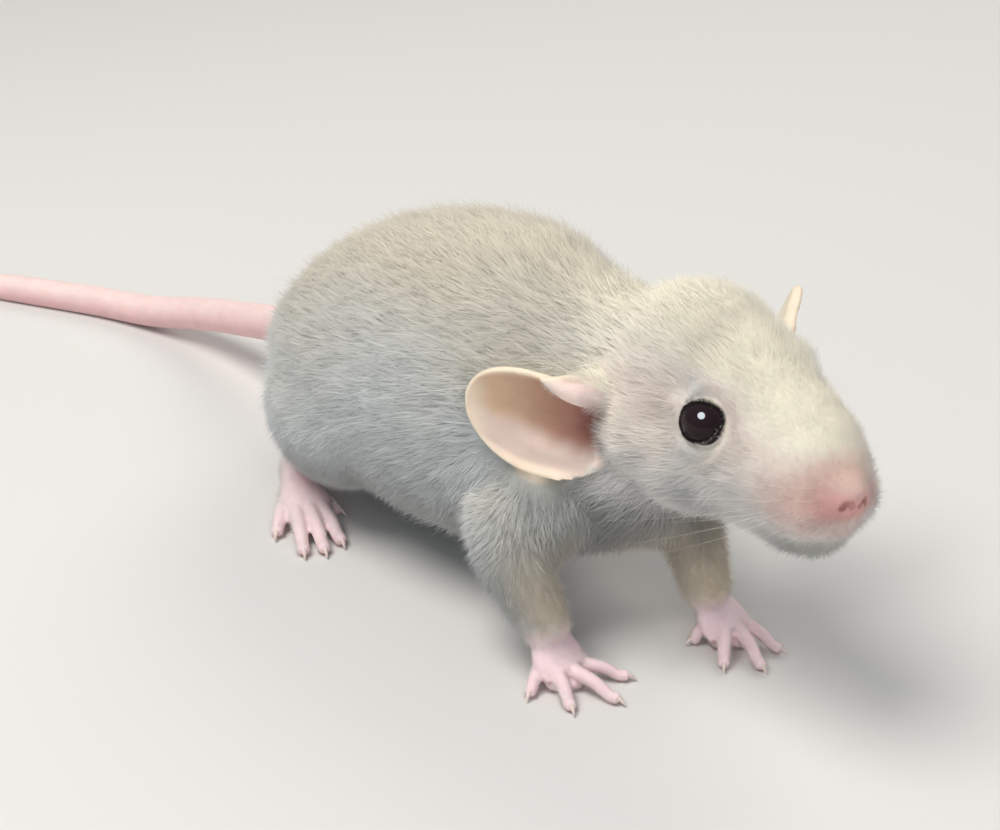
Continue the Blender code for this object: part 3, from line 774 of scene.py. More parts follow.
    def folds(self) -> list:
        """The fleshy ridges at the root: the rim that runs into the head above, and the small lobe below."""
        upper = [(-0.06, -0.72), (0.1, -0.78), (0.22, -0.82), (0.31, -0.88), (0.4, -0.94), (0.48, -0.99)]
        lower = [(-0.06, 0.6), (0.06, 0.74), (0.18, 0.86)]
        made = []
        for name, path, sizes in (
            ("helix", upper, np.array((1.9, 2.0, 2.0, 1.75, 1.05, 0.35)) * self.fold),
            ("lobe", lower, np.array((1.2, 1.15, 0.6))),
        ):
            u = np.array([p[0] for p in path])
            v = np.array([p[1] for p in path]) * self.low
            route = self.anatomy.from_head(self.surface(u, v) + self.out * 0.25)
            made.append(swept(f"{name}_{self.side.word}", route, sizes, sides=12, per_span=4))
        return made

    def gap(self, points: np.ndarray, reach: float) -> np.ndarray:
        """How far points of the workshop's frame are from the cup's middle sheet, up to a reach."""
        near = np.flatnonzero(gap_from(self.anatomy.in_head(points), self.root) < self.length + 4)
        best = np.full(len(points), reach)
        for k in near:
            hit = self.sheet.find_nearest(points[k], reach)[3]
            best[k] = reach if hit is None else hit
        return best

    def raised(self, head: np.ndarray, u: np.ndarray, v: np.ndarray) -> np.ndarray:
        """How high points stand over the cup's inner face, in the head's frame."""
        inner = self.surface(np.clip(u, -self.buried, 1.0), np.clip(v * self.low, -1.0, 1.0))
        return (head - inner) @ self.out

    def place(self, head: np.ndarray) -> tuple[np.ndarray, np.ndarray]:
        """Where points are on the ear.

        Args:
            head: places in the head's frame.

        Returns:
            The share of the length, and the share of half the width with its low edge positive.
        """
        off = head - np.array(self.root)
        u = off @ self.u_way / self.length
        v = (off @ self.v_way - self.leant(u)) / np.maximum(self.half(np.clip(u, 0.0, 0.98)), 0.5)
        return u, v * self.low


EAR_POSES = {
    Side.RIGHT: {
        "root": (-12.6, -13.0, -5.1),
        "along": (-0.846, -0.520, 0.118),
        "facing": (0.503, -0.861, -0.074),
        "depth": 3.4,
    },
    Side.LEFT: {
        "root": (-12.2, 11.7, -5.6),
        "along": (-0.665, 0.675, 0.315),
        "facing": (0.600, 0.740, -0.300),
        "depth": 2.6,
        "fold": 0.5,
    },
}


def outward(obj: bpy.types.Object) -> bpy.types.Object:
    """Merges doubles and turns all faces outwards."""
    mesh = bmesh.new()
    mesh.from_mesh(obj.data)
    bmesh.ops.remove_doubles(mesh, verts=mesh.verts, dist=1e-4)
    mesh.normal_update()
    bmesh.ops.recalc_face_normals(mesh, faces=mesh.faces)
    mesh.to_mesh(obj.data)
    mesh.free()
    return obj


@dataclass(frozen=True)
class Digit:
    """One toe: where it leaves the paw, where its claw ends, and its radius."""

    base: tuple
    tip: tuple
    radius: float
    claw: float

    @property
    def ahead(self) -> np.ndarray:
        """The way from the toe's base to its tip, along the floor."""
        return unit(np.array((self.tip[0] - self.base[0], self.tip[1] - self.base[1], 0.0)))

    def path(self) -> tuple[np.ndarray, np.ndarray]:
        """The toe's route and its radii, without the claw."""
        base, ahead = np.array(self.base), self.ahead
        end = np.array((*self.tip, self.radius * 0.92)) - ahead * self.claw
        first = base * 0.52 + end * 0.48
        first[2] += 0.3
        last = base * 0.2 + end * 0.8
        last[2] = self.radius * 1.02
        pad = end.copy()
        pad[2] = self.radius * 0.98
        route = np.array((base - ahead * 2.2, base, first, last, pad, end + ahead * self.radius * 0.45))
        radii = self.radius * np.array((1.1, 1.12, 0.98, 0.87, 0.84, 0.34))
        return route, radii

    def claw_path(self) -> tuple[np.ndarray, np.ndarray]:
        """The claw's route from inside the toe to its tip, and its radii."""
        ahead, rise = self.ahead, self.radius * 1.06
        end = np.array((*self.tip, 0.0)) - ahead * self.claw
        steps = ((-0.5, rise - 0.1), (0.1, rise + 0.05), (0.45, rise - 0.05), (0.8, 0.55 * rise + 0.1), (1.06, 0.34))
        route = np.array([end + ahead * self.claw * s + np.array((0, 0, z)) for s, z in steps])
        return route, self.radius * np.array((0.30, 0.36, 0.31, 0.19, 0.06))


@dataclass
class Paw:
    """One foot from its wrist or heel to its toes, with its claws."""

    name: str
    limb: tuple
    sizes: tuple
    digits: tuple
    pads: tuple
    up: tuple = (0.0, 0.0, 1.0)
    mirrored: bool = False

    def flip(self, points: np.ndarray) -> np.ndarray:
        """The same points, on the rat's other side where the foot is mirrored."""
        return points * (1.0, -1.0 if self.mirrored else 1.0, 1.0)

    def build(self) -> list:
        """The paw's flesh as overlapping closed bodies: limb, toes and pads."""
        widths, heights = np.array(self.sizes).T
        made = [swept(f"{self.name}_palm", self.flip(np.array(self.limb)), widths, heights, sides=24)]
        for k, digit in enumerate(self.digits):
            route, radii = digit.path()
            made.append(swept(f"{self.name}_toe_{k}", self.flip(route), radii, sides=16))
        for k, (at, radii) in enumerate(self.pads):
            middle = self.flip(np.array((*at, 0.95)))
            made.append(ball(f"{self.name}_pad_{k}", middle, (*radii, 0.95), segments=16))
        return [outward(piece) for piece in made]

    def claws(self) -> bpy.types.Object:
        """The foot's claws as one piece."""
        made = []
        for k, digit in enumerate(self.digits):
            route, radii = digit.claw_path()
            made.append(outward(swept(f"{self.name}_claw_{k}", self.flip(route), radii, sides=12, per_span=6)))
        return joined(f"claws_{self.name}", made)


FORE_SIZES = ((2.8, 2.35), (3.1, 2.15), (3.85, 1.95), (3.8, 1.45))
HIND_SIZES = ((1.3, 1.4), (2.2, 2.35), (2.6, 2.65), (3.8, 2.35), (3.5, 1.3))
PAW_FORE_RIGHT = Paw(
    "forefoot_right",
    ((23.0, -12.6, 8.0), (23.7, -12.3, 5.0), (25.2, -12.2, 3.1), (27.2, -12.0, 2.0)),
    FORE_SIZES,
    (
        Digit((24.6, -14.8, 2.2), (27.4, -18.9), 0.87, 1.2),
        Digit((27.4, -13.9, 2.3), (33.4, -15.8), 0.92, 1.2),
        Digit((28.0, -11.7, 2.4), (35.4, -9.2), 0.92, 1.2),
        Digit((26.9, -9.6, 2.2), (31.6, -4.4), 0.87, 1.2),
        Digit((24.6, -9.9, 1.9), (26.2, -7.6), 0.68, 0.9),
    ),
    (
        ((26.8, -14.0), (1.5, 1.3)),
        ((28.0, -11.8), (1.4, 1.3)),
        ((26.4, -10.2), (1.3, 1.2)),
        ((24.4, -12.8), (1.5, 1.5)),
    ),
)
PAW_FORE_LEFT = Paw(
    "forefoot_left",
    ((27.6, 10.0, 8.0), (28.2, 10.9, 5.0), (30.0, 11.3, 3.1), (32.2, 11.4, 2.0)),
    FORE_SIZES,
    (
        Digit((29.4, 8.8, 2.2), (29.0, 6.0), 0.87, 1.2),
        Digit((32.6, 9.6, 2.4), (37.0, 5.9), 0.92, 1.2),
        Digit((33.2, 11.9, 2.4), (40.4, 10.2), 0.92, 1.2),
        Digit((32.0, 14.0, 2.2), (38.6, 15.4), 0.87, 1.2),
        Digit((28.6, 9.4, 1.9), (28.0, 7.2), 0.68, 0.9),
    ),
    (
        ((31.4, 9.8), (1.4, 1.3)),
        ((32.8, 11.8), (1.4, 1.3)),
        ((31.8, 13.4), (1.3, 1.2)),
        ((29.4, 11.2), (1.5, 1.5)),
    ),
)
HIND_LIMB = ((-41.6, -12.9, 2.9), (-39.8, -13.7, 3.4), (-35.2, -15.6, 3.5), (-30.2, -17.6, 2.9), (-26.6, -18.6, 1.9))
HIND_DIGITS = (
    Digit((-30.6, -21.0, 2.4), (-26.3, -24.9), 1.08, 1.3),
    Digit((-27.8, -20.2, 2.6), (-19.3, -24.0), 1.09, 1.3),
    Digit((-26.4, -18.6, 2.7), (-17.9, -21.2), 1.09, 1.3),
    Digit((-26.6, -16.6, 2.6), (-18.6, -17.8), 1.09, 1.3),
    Digit((-30.4, -14.4, 2.2), (-26.6, -12.7), 0.96, 1.3),
)
HIND_PADS = (
    ((-30.0, -20.2), (1.5, 1.3)),
    ((-27.4, -19.2), (1.5, 1.4)),
    ((-28.4, -15.8), (1.5, 1.3)),
    ((-39.6, -13.6), (2.3, 1.7)),
)
PAW_HIND_RIGHT = Paw("hindfoot_right", HIND_LIMB, HIND_SIZES, HIND_DIGITS, HIND_PADS)
PAW_HIND_LEFT = Paw("hindfoot_left", HIND_LIMB, HIND_SIZES, HIND_DIGITS, HIND_PADS, mirrored=True)


@dataclass
class Tail:
    """The tail: a long taper laid along the floor, ringed by rows of small scales."""

    route: tuple = (
        (-47.0, -0.6, 17.6), (-51.0, -0.5, 16.8), (-65.5, -0.2, 13.4), (-79.0, -0.2, 9.6), (-92.5, -1.6, 6.0),
        (-104.0, -5.2, 3.2), (-115.0, -10.3, 2.4), (-131.0, -20.8, 2.1), (-146.0, -31.0, 1.6), (-158.0, -35.2, 1.1),
        (-170.0, -37.2, 0.5),
    )
    radii: tuple = (3.1, 3.1, 2.95, 2.85, 2.8, 2.7, 2.6, 2.35, 1.7, 1.15, 0.5)
    ring: float = 1.05  # from one row of scales to the next, in millimetres
    relief: float = 0.05
    sides: int = 28

    def build(self) -> bpy.types.Object:
        """Sweeps the tail with its rows of scales in relief."""
        rows = smooth_route(np.column_stack((self.route, self.radii)), 40)
        run = np.concatenate(([0.0], np.cumsum(np.linalg.norm(np.diff(rows[:, :3], axis=0), axis=1))))
        count = int(run[-1] / 0.26)
        at = np.linspace(0, run[-1] - 0.05, count)
        rows = np.stack([np.interp(at, run, rows[:, k]) for k in range(4)], axis=1)
        along = unit(np.gradient(rows[:, :3], axis=0))
        side = unit(np.cross((0.0, 0.0, 1.0), along))
        rise = np.cross(along, side)
        turn = 2 * np.pi * np.arange(self.sides) / self.sides
        phase = at[:, None] / self.ring + 0.12 * np.sin(3 * turn)[None, :]
        saw = phase - np.floor(phase)
        swell = self.relief * (ramp(0.0, 0.25, saw) - ramp(0.3, 1.0, saw) * 0.9) * ramp(0.5, 1.4, rows[:, 3])[:, None]
        radius = rows[:, 3:4] + swell
        ends = ramp(at[-1], at[-1] - 1.2, at)
        radius = np.maximum(radius * np.sqrt(ends)[:, None], 0.02)
        points = rows[:, None, :3] + side[:, None] * (np.cos(turn)[None, :, None] * radius[:, :, None])
        points = points + rise[:, None] * (np.sin(turn)[None, :, None] * radius[:, :, None])
        points = points.reshape(-1, 3)
        points[:, 2] = np.maximum(points[:, 2], 0.02)
        return outward(new_piece("tail_tube", points, tube_faces(count, self.sides)))


@dataclass
class Skin:
    """One skin over all the flesh: trunk, head, limbs, paws, ears and tail, with lids, nostrils and mouth."""

    anatomy: Anatomy
    growth: Growth
    markings: Markings
    ears: dict
    paws: tuple
    tail: Tail
    swell: float = 0.22
    coarse: float = 0.6
    fine: float = 0.30
    triangles: int = 140000
    eye_room: float = 0.12  # between the eyeball and the flesh round it
    opening: tuple = (2.94, 2.42)  # half an eye's opening, along it and across
    lid: float = 0.25  # half the thickness of a lid's rim
    lid_steps: int = 32
    nostril: tuple = ((18.9, 0.6, -7.0), (18.8, 1.0, -6.5), (18.4, 1.45, -6.5), (18.1, 1.7, -7.0))
    hide: Hide | None = None

    def copy_of(self, node: str) -> bpy.types.Object:
        """A merged copy of a solid in the workshop's frame, swollen enough to close its gaps."""
        made = bpy.data.objects.new(f"flesh_{node}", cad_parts[node].data.copy())
        bpy.context.scene.collection.objects.link(made)
        put_points(made, points_of(made) / MM + CENTRE)
        outward(made)
        put_points(made, points_of(made) + points_of(made, "normal") * self.swell)
        return made

    def trunk(self) -> bpy.types.Object:
        """Trunk, neck, head and legs as one smooth body, drawn in from the outline by the coat's depth."""
        nodes = ("torso", "neck", "head", *self.anatomy.legs)
        made = joined("flesh", [self.copy_of(node) for node in nodes])
        shaped(made, "REMESH", mode="VOXEL", voxel_size=self.coarse)
        relaxed(made, 7)
        points = points_of(made)
        share = ramp(36.0, 42.0, points[:, 2]) * ramp(-18.0, -6.0, points[:, 0]) * ramp(21.0, 14.0, points[:, 0])
        weighed(made, "nape", share, 5)
        relaxed(made, 110, "nape")
        points, normals = points_of(made), points_of(made, "normal")
        depth = self.growth.length(points) * self.growth.lift + self.swell
        points = points - normals * depth[:, None]
        for ear in self.ears.values():
            points = ear.opened(points)
        for side in Side:
            points = self.socket(points, side)
        put_points(made, points)
        return relaxed(made, 2)

    def socket(self, points: np.ndarray, side: Side) -> np.ndarray:
        """Flesh close round an eye, kept lower than its lids, so that the ball stands out as a rat's does."""
        body = self.anatomy
        off = body.in_head(points) - body.eye(side)
        height = off @ body.look(side)
        across = np.linalg.norm(off - np.outer(height, body.look(side)), axis=1)
        shell = np.sqrt(np.maximum((body.eye_radius + self.eye_room) ** 2 - across**2, 0.0))
        limit = np.maximum(shell, 0.75 + 0.55 * np.maximum(across - 3.0, 0.0))
        lower = np.maximum(height - limit, 0.0) * ramp(6.8, 3.8, across) * (height < 7.0)
        return points - np.outer(lower, body.look(side) @ body.turn.T)

    def lids(self) -> list:
        """A rounded lid rim round each eye, drawn out to the corners, and a ball that backs the eye."""
        made = []
        body = self.anatomy
        for side in Side:
            look, at = body.look(side), body.eye(side)
            front, rise = body.eye_ways(side)
            turn = np.linspace(0, 2 * np.pi, self.lid_steps + 1)
            wide, tall = self.opening
            corner = 0.35 * np.maximum(np.cos(turn), 0) ** 8
            ring = front * ((wide + corner) * np.cos(turn))[:, None]
            ring = ring + rise * (tall * np.sin(turn) + 0.12)[:, None]
            reach = np.linalg.norm(ring, axis=1)
            height = np.sqrt(np.maximum((body.eye_radius + 0.16) ** 2 - reach**2, 0.1))
            route = body.from_head(at + ring + look * height[:, None])
            thick = np.full(len(turn), self.lid)
            made.append(outward(swept(f"lid_{side.word}", route, thick, sides=12, per_span=2)))
            made.append(ball(f"back_{side.word}", body.from_head(at - look * 0.15), (body.eye_radius - 0.1,) * 3))
        return made

    def build(self) -> bpy.types.Object:
        """Fuses the flesh, refines it where it is bare, models the face and writes what grows where."""
        parts = [self.trunk(), *self.lids()]
        for ear in self.ears.values():
            parts += [ear.build(), *ear.folds()]
        for paw in self.paws:
            parts += paw.build()
        made = joined("skin", parts)
        shaped(made, "REMESH", mode="VOXEL", voxel_size=self.fine)
        LOG.info("fused skin: %d faces", len(made.data.polygons))
        relaxed(made, 3)
        self.settle(made)
        self.thin(made)
        self.settle(made)
        self.model_face(made)
        made = joined("skin", [made, self.tail.build()])
        self.write(made)
        return made

    def settle(self, obj: bpy.types.Object) -> None:
        """Evens out the ears, with a light smoothing where they leave the head."""
        head = self.anatomy.in_head(points_of(obj))
        near = np.zeros(len(head), bool)
        for ear in self.ears.values():
            put_points(obj, ear.settled(points_of(obj)))
            u, v = ear.place(head)
            near |= (np.abs(u - 0.3) < 0.25) & (np.abs(v) < 1.5) & (gap_from(head, ear.root) < 18)
        weighed(obj, "ear_root", near, 1)
        relaxed(obj, 7, "ear_root")
        obj.vertex_groups.clear()

    def thin(self, obj: bpy.types.Object) -> None:
        """Takes triangles out of the skin that the coat covers, and few where it is bare or finely shaped."""
        head = self.anatomy.in_head(points_of(obj))
        points = points_of(obj)
        keep = ramp(-2.0, 8.0, head[:, 0])
        keep = np.maximum(keep, ramp(4.0, 1.0, self.anatomy.distance(points, "ear_right", "ear_left", reach=5.0)))
        keep = np.maximum(keep, ramp(3.0, 1.0, self.anatomy.distance(points, *self.anatomy.feet, reach=4.0)))
        for side in Side:
            keep = np.maximum(keep, ramp(8.0, 4.5, gap_from(head, self.anatomy.eye(side))))
        weighed(obj, "covered", 1 - keep, 10)
        count = sum(len(p.vertices) - 2 for p in obj.data.polygons)
        shaped(
            obj, "DECIMATE", ratio=min(1.0, self.triangles / count), vertex_group="covered", vertex_group_factor=4.0
        )
        obj.vertex_groups.clear()

    def model_face(self, obj: bpy.types.Object) -> None:
        """Refines the muzzle and models nostrils, the split of the lip, the mouth's line and the whisker rows."""
        body = self.anatomy
        mesh = bmesh.new()
        mesh.from_mesh(obj.data)
        nose = Vector(body.from_head((17.6, 0.0, -7.2)))
        close = [e for e in mesh.edges if all((v.co - nose).length < 5.4 for v in e.verts)]
        bmesh.ops.subdivide_edges(mesh, edges=close, cuts=1, use_grid_fill=True, smooth=0.0)
        bmesh.ops.triangulate(mesh, faces=[f for f in mesh.faces if len(f.verts) > 3])
        mesh.to_mesh(obj.data)
        mesh.free()
        points, normals = points_of(obj), points_of(obj, "normal")
        head = body.in_head(points)
        half = folded(head)
        comma = np.array(self.nostril)
        push = -0.7 * bell(line_distance(half, comma), 0.36)
        push += 0.08 * bell(line_distance(half, comma + (0.0, 0.15, 0.95)), 0.6)
        cleft = np.array(((19.6, 0.0, -6.0), (18.8, 0.0, -7.6), (17.4, 0.0, -9.4), (16.6, 0.0, -11.2)))
        push -= 0.22 * bell(line_distance(head, cleft), 0.28)
        angle = np.abs(np.arctan2(head[:, 1], head[:, 0] - 9.5))
        front = ramp(1.12, 0.95, angle) * ramp(10.0, 11.5, head[:, 0])
        level = head[:, 2] + 11.5 - 0.5 * ramp(0.3, 1.1, angle)
        push -= 0.15 * bell(level, 0.3) * front
        push += 0.10 * bell(level - 1.1, 0.8) * front
        pad = np.min([gap_from(half, whisker_root(row, place)) for row in range(5) for place in range(4)], axis=0)
        push += 0.10 * bell(pad, 0.42)
        points = points + normals * push[:, None]
        put_points(obj, np.clip(points, LOW + 0.01, HIGH - 0.05))

    def write(self, obj: bpy.types.Object) -> None:
        """Works out hair, colours and bareness at each vertex and stores what the finishes read."""
        body, marks = self.anatomy, self.markings
        points, normals = points_of(obj), points_of(obj, "normal")
        head = body.in_head(points)
        length = self.growth.length(points + normals * 1.0)
        furred = ramp(0.0, 0.9, length)
        tone = marks.coat(body, points, normals)
        coat_tone = tone.copy()
        feet = body.distance(points, *body.feet, reach=9.0)
        sole = mixed(linear(marks.foot), linear(marks.sole), ramp(-0.2, -0.8, normals[:, 2]))
        heel = furred * ramp(-33.0, -37.0, points[:, 0])
        tone = mixed(tone, sole, ramp(3.2, 0.4, feet) * ramp(12.0, 8.0, points[:, 2]) * (1 - 0.5 * heel))
        half = folded(head)
        snout = gap_from(half, (18.2, 1.0, -7.0), (1.0, 0.9, 1.0))
        tone = mixed(tone, linear(marks.nose), ramp(2.7, 1.0, snout))
        # dark nostrils: partly their own skin, partly painted shade in the openings
        tone = mixed(tone, linear(marks.nostril), bell(line_distance(half, np.array(self.nostril)), 0.38))
        lids = np.zeros(len(points))
        for side in Side:
            off = head - body.eye(side)
            front, rise = body.eye_ways(side)
            across = np.hypot(off @ front, 1.2 * (off @ rise - 0.1))
            near = ramp(4.6, 3.8, np.linalg.norm(off, axis=1))
            tone = mixed(tone, linear(marks.lid), near * ramp(3.5, 3.1, across))
            lids = np.maximum(lids, near * ramp(3.5, 3.15, across))
            coat_tone = mixed(coat_tone, linear(marks.lid), 0.2 * near * ramp(3.9, 3.2, across))
        bare = 1 - furred
        on_ears = np.zeros(len(points))
        for ear in self.ears.values():
            gap = np.minimum(body.distance(points, f"ear_{ear.side.word}", reach=3.0), ear.gap(points, 3.0))
            u, v = ear.place(head)
            faces_out = ramp(-0.3, 0.3, normals @ (body.turn @ ear.out))
            from_canal = np.linalg.norm(head - ear.root - ear.u_way * (0.3 * ear.length), axis=1)
            within = ramp(3.4, 2.6, from_canal / 1.9) * faces_out
            on_ear = np.maximum(ramp(1.6, 0.6, gap), within * ramp(3.0, 2.6, gap))
            # painted shade: the canal and the skin round it dark, and the fur beside it browner
            canal = within * ramp(-0.13, -0.05, u - ear.mouth) * ramp(1.0, 0.75, np.abs(v)) * ramp(3.0, 2.6, gap)
            tone = mixed(tone, linear(marks.ear_deep), 0.8 * canal)
            on_ear = on_ear * ramp(-0.02, 0.05, u - ear.mouth)
            # painted light and shade in the cup: the downward-facing upper half shaded tan and darker towards the root,
            # the upward-facing lower half lit
            shadow = v - 0.1 - 0.55 * (0.93 - np.clip(u, 0.2, 0.93)) + 0.05 * ripple(points, 5.0, 31)
            upper = mixed(linear(marks.ear_upper), linear(marks.ear_deep), 0.75 * ramp(0.9, 0.3, u))
            inner = mixed(upper, linear(marks.ear_lower_lit), ramp(-0.2, 0.2, shadow))
            edge = np.maximum(ramp(0.74, 0.97, np.abs(v)) * ramp(0.22, 0.4, u), ramp(0.82, 0.98, u))
            inner = mixed(inner, linear(marks.ear_rim), edge)
            # painted shade deep in the cup near its root
            inner = mixed(inner, linear(marks.ear_deep), ramp(0.36, 0.25, u) * bell(v + 0.12, 0.4))
            tone = mixed(tone, mixed(linear(marks.ear_back), inner, faces_out), on_ear)
            coat_tone = mixed(coat_tone, linear(marks.ear_deep), 0.45 * canal)
            raised = ramp(0.15, 0.8, ear.raised(head, u, v))
            # pink bare skin on the fold above the canal and on the lobe, lightened as painted highlights where they
            # catch the light; the fur beside them is tinted too
            for along, at, size, share in ((0.28, -0.84, 4.4, 0.95), (0.2, 0.84, 3.6, 0.8)):
                crest = ear.surface(np.array((along,)), np.array((at * ear.low,)))[0] + ear.out * 0.8
                crest = ramp(size, 0.45 * size, gap_from(head, crest)) * (0.15 + 0.85 * raised)
                coat_tone = mixed(coat_tone, linear(marks.ear_root), 0.7 * crest)
                tone = mixed(tone, linear(marks.ear_root), share * crest)
                length = length * (1 - 0.55 * crest)
            bare = np.maximum(bare, on_ear)
            on_ears = np.maximum(on_ears, on_ear)
        behind = points[:, 0] < -51.5
        tail = body.distance(points, "tail_base", "tail_middle", "tail_tip", reach=3.0)
        on_tail = ramp(1.2, 0.5, tail) * behind
        # the tail paler where it faces up and darker on its sides: painted light and shade over its own pink
        rump = mixed(linear(marks.tail_side), linear(marks.tail), ramp(-0.3, 0.8, normals[:, 2]))
        tone = mixed(tone, rump, on_tail)
        bare = np.maximum(bare, on_tail)
        write_values(obj, "tone", tone)
        write_values(obj, "bare", bare)
        write_values(obj, "grain", bare * (1 - lids))
        self.hide = Hide(
            points=points,
            normals=normals,
            length=length * (1 - np.maximum(on_tail, on_ears)),
            lie=self.growth.lie(points, normals),
            tone=coat_tone,
            limb=ramp(2.5, 0.5, body.distance(points, *body.legs, *body.feet, reach=4.0)),
            face=ramp(-14.0, -6.0, head[:, 0]),
        )


# Coat


@dataclass(frozen=True)
class Tuft:
    """A kind of tuft: how many grow on a square millimetre, how wide each is and how far it leans up."""

    density: float
    width: float
    root_lift: float
    tip_lift: float
    gather: float
    bends: bool


@dataclass
class Coat:
    """The coat: tapered tufts rooted in the skin, longest on the back and smallest on face and feet."""

    skin: Skin
    over: Tuft = Tuft(5.4, 0.054, 22.0, 11.0, 0.22, True)
    under: Tuft = Tuft(15.0, 0.05, 26.0, 21.0, 0.18, False)
    short: Tuft = Tuft(25.5, 0.05, 33.0, 25.0, 0.14, False)
    softness: float = 0.93
    strays: float = 0.05
    plush: float = 0.16
    clumps: float = 0.085  # the share of tufts that draw their neighbours to them
    ceiling: float = 1.4  # how far under the top of the outline the coat begins to flatten
    ease: float = 1.35  # how much higher it can still rise
    patch: float = 0.003
    most: int = 190000
    seed: int = 7

    def roots(self, kind: Tuft, share: np.ndarray, rng: np.random.Generator) -> dict:
        """Scatters tufts over the skin.

        Args:
            kind: the kind of tuft.
            share: how much of its full density grows at each vertex.
            rng: the source of chance.

        Returns:
            Arrays with a row for each tuft: place, normal, lie, length, tone, limb and face.
        """
        hide, mesh = self.skin.hide, self.skin_object.data
        mesh.calc_loop_triangles()
        corners = np.empty(len(mesh.loop_triangles) * 3, np.int32)
        mesh.loop_triangles.foreach_get("vertices", corners)
        corners = corners.reshape(-1, 3)
        a, b, c = (hide.points[corners[:, k]] for k in range(3))
        area = 0.5 * np.linalg.norm(np.cross(b - a, c - a), axis=1)
        rate = area * kind.density * share[corners].mean(axis=1) * 1.0
        count = np.floor(rate + rng.random(len(rate))).astype(int)
        chosen = np.repeat(np.arange(len(rate)), count)
        r, s = rng.random((2, len(chosen)))
        swap = r + s > 1
        r, s = np.where(swap, 1 - r, r), np.where(swap, 1 - s, s)
        weights = np.stack((1 - r - s, r, s), axis=1)
        ids = corners[chosen]

        def spread(values: np.ndarray) -> np.ndarray:
            """Values at the vertices, carried to the roots."""
            return np.einsum("nk,nk...->n...", weights, values[ids])

        return {
            "at": spread(hide.points),
            "normal": unit(spread(hide.normals)),
            "lie": unit(spread(hide.lie)),
            **{name: spread(getattr(hide, name)) for name in ("length", "tone", "limb", "face")},
        }

    def grown(self, kind: Tuft, root: dict, rng: np.random.Generator) -> dict:
        """Gives each tuft its middle and its tip, and draws neighbours together into small clumps.

        Args:
            kind: the kind of tuft.
            root: what roots() returns.
            rng: the source of chance.

        Returns:
            The same arrays with the tufts' middles, tips and widths.
        """
        at, normal, way, count = root["at"], root["normal"], root["lie"], len(root["at"])
        side = np.cross(way, normal)
        swing = rng.normal(0, 0.26, count) + 0.28 * ripple(at, 3.6, 21) + 0.16 * ripple(at, 1.5, 22)
        way = unit(way * np.cos(swing)[:, None] + side * np.sin(swing)[:, None])
        longer = root["length"] * np.clip(rng.normal(1.0, 0.16, count), 0.55, 1.5)
        lift = np.clip(1 + 0.30 * ripple(at, 4.2, 23) + rng.normal(0, 0.28, count), 0.1, 2.2)
        stray = rng.random(count) < self.strays * (1.0 if kind.bends else 0.25) * (1 - 0.8 * root["face"])
        lift, longer = np.where(stray, 2.2, lift), np.where(stray, longer * 1.15, longer)
        high = np.radians(kind.root_lift * lift)[:, None]
        low = np.radians(kind.tip_lift * lift)[:, None]
        length = longer[:, None]
        middle = at + 0.5 * length * (np.cos(high) * way + np.sin(high) * normal)
        tip = middle + 0.5 * length * (np.cos(low) * way + np.sin(low) * normal)
        heads = np.flatnonzero(rng.random(count) < self.clumps)
        tree = KDTree(len(heads))
        for k, i in enumerate(heads):
            tree.insert(at[i], k)
        tree.balance()
        nearest = heads[np.fromiter((tree.find(p)[1] for p in at), int, count)]
        pull = kind.gather * rng.uniform(0.3, 1.0, count)[:, None]
        drawn = tip * (1 - pull) + tip[nearest] * pull
        middle = middle + 0.35 * (drawn - tip)
        top = HIGH[2] - self.ceiling
        for spot in (middle, drawn):
            over = spot[:, 2] - top
            spot[:, 2] = np.where(over > 0, top + self.ease * np.tanh(over / self.ease), spot[:, 2])
            spot[:] = np.clip(spot, LOW + 0.08, HIGH - 0.06 - 0.15 * rng.random((count, 1)))
        wide = kind.width * np.clip(rng.normal(1.0, 0.2, count), 0.5, 1.6) * np.clip(longer / 3.0, 0.5, 1.1)
        shade = 0.5 + 0.22 * rng.normal(size=count) + 0.25 * ripple(at, 2.6, 24)
        shade = shade + 0.15 * rng.normal(size=count)[nearest]
        return {**root, "middle": middle, "tip": drawn, "wide": wide, "shade": np.clip(shade, 0, 1)}

    def chart(self, at: np.ndarray, limb: bool) -> np.ndarray:
        """Each root's place on an unwrap of the skin: along the body, and round it.

        Args:
            at: roots of one piece.
            limb: unwraps about each leg's own upright axis rather than the spine.

        Returns:
            One place from 0 to 1 each way for each root.
        """
        if limb:
            corner = 2 * (at[:, 0] > 0) + (at[:, 1] > 0)
            middle = np.array(((-30.0, -16.0), (-30.0, 16.0), (20.0, -12.0), (25.0, 11.0)))[corner]
            round_it = np.arctan2(at[:, 1] - middle[:, 1], at[:, 0] - middle[:, 0]) / (2 * np.pi) + 0.5
            along = (corner + 0.02 + 0.96 * np.clip(at[:, 2] / 34.0, 0, 1)) / 4
        else:
            spine_z = np.interp(at[:, 0], (-52.0, -16.0, 20.0, 45.0, 60.0), (17.0, 25.0, 30.0, 37.0, 36.0))
            spine_y = np.interp(at[:, 0], (-52.0, 0.0, 40.0, 60.0), (-0.5, 1.0, 5.8, 4.4))
            round_it = np.arctan2(at[:, 1] - spine_y, at[:, 2] - spine_z) / (2 * np.pi) + 0.5
            low, high = at[:, 0].min(), at[:, 0].max()
            along = (at[:, 0] - low) / max(high - low, 1e-6)
        return 0.004 + 0.992 * np.stack((along, round_it), axis=1)

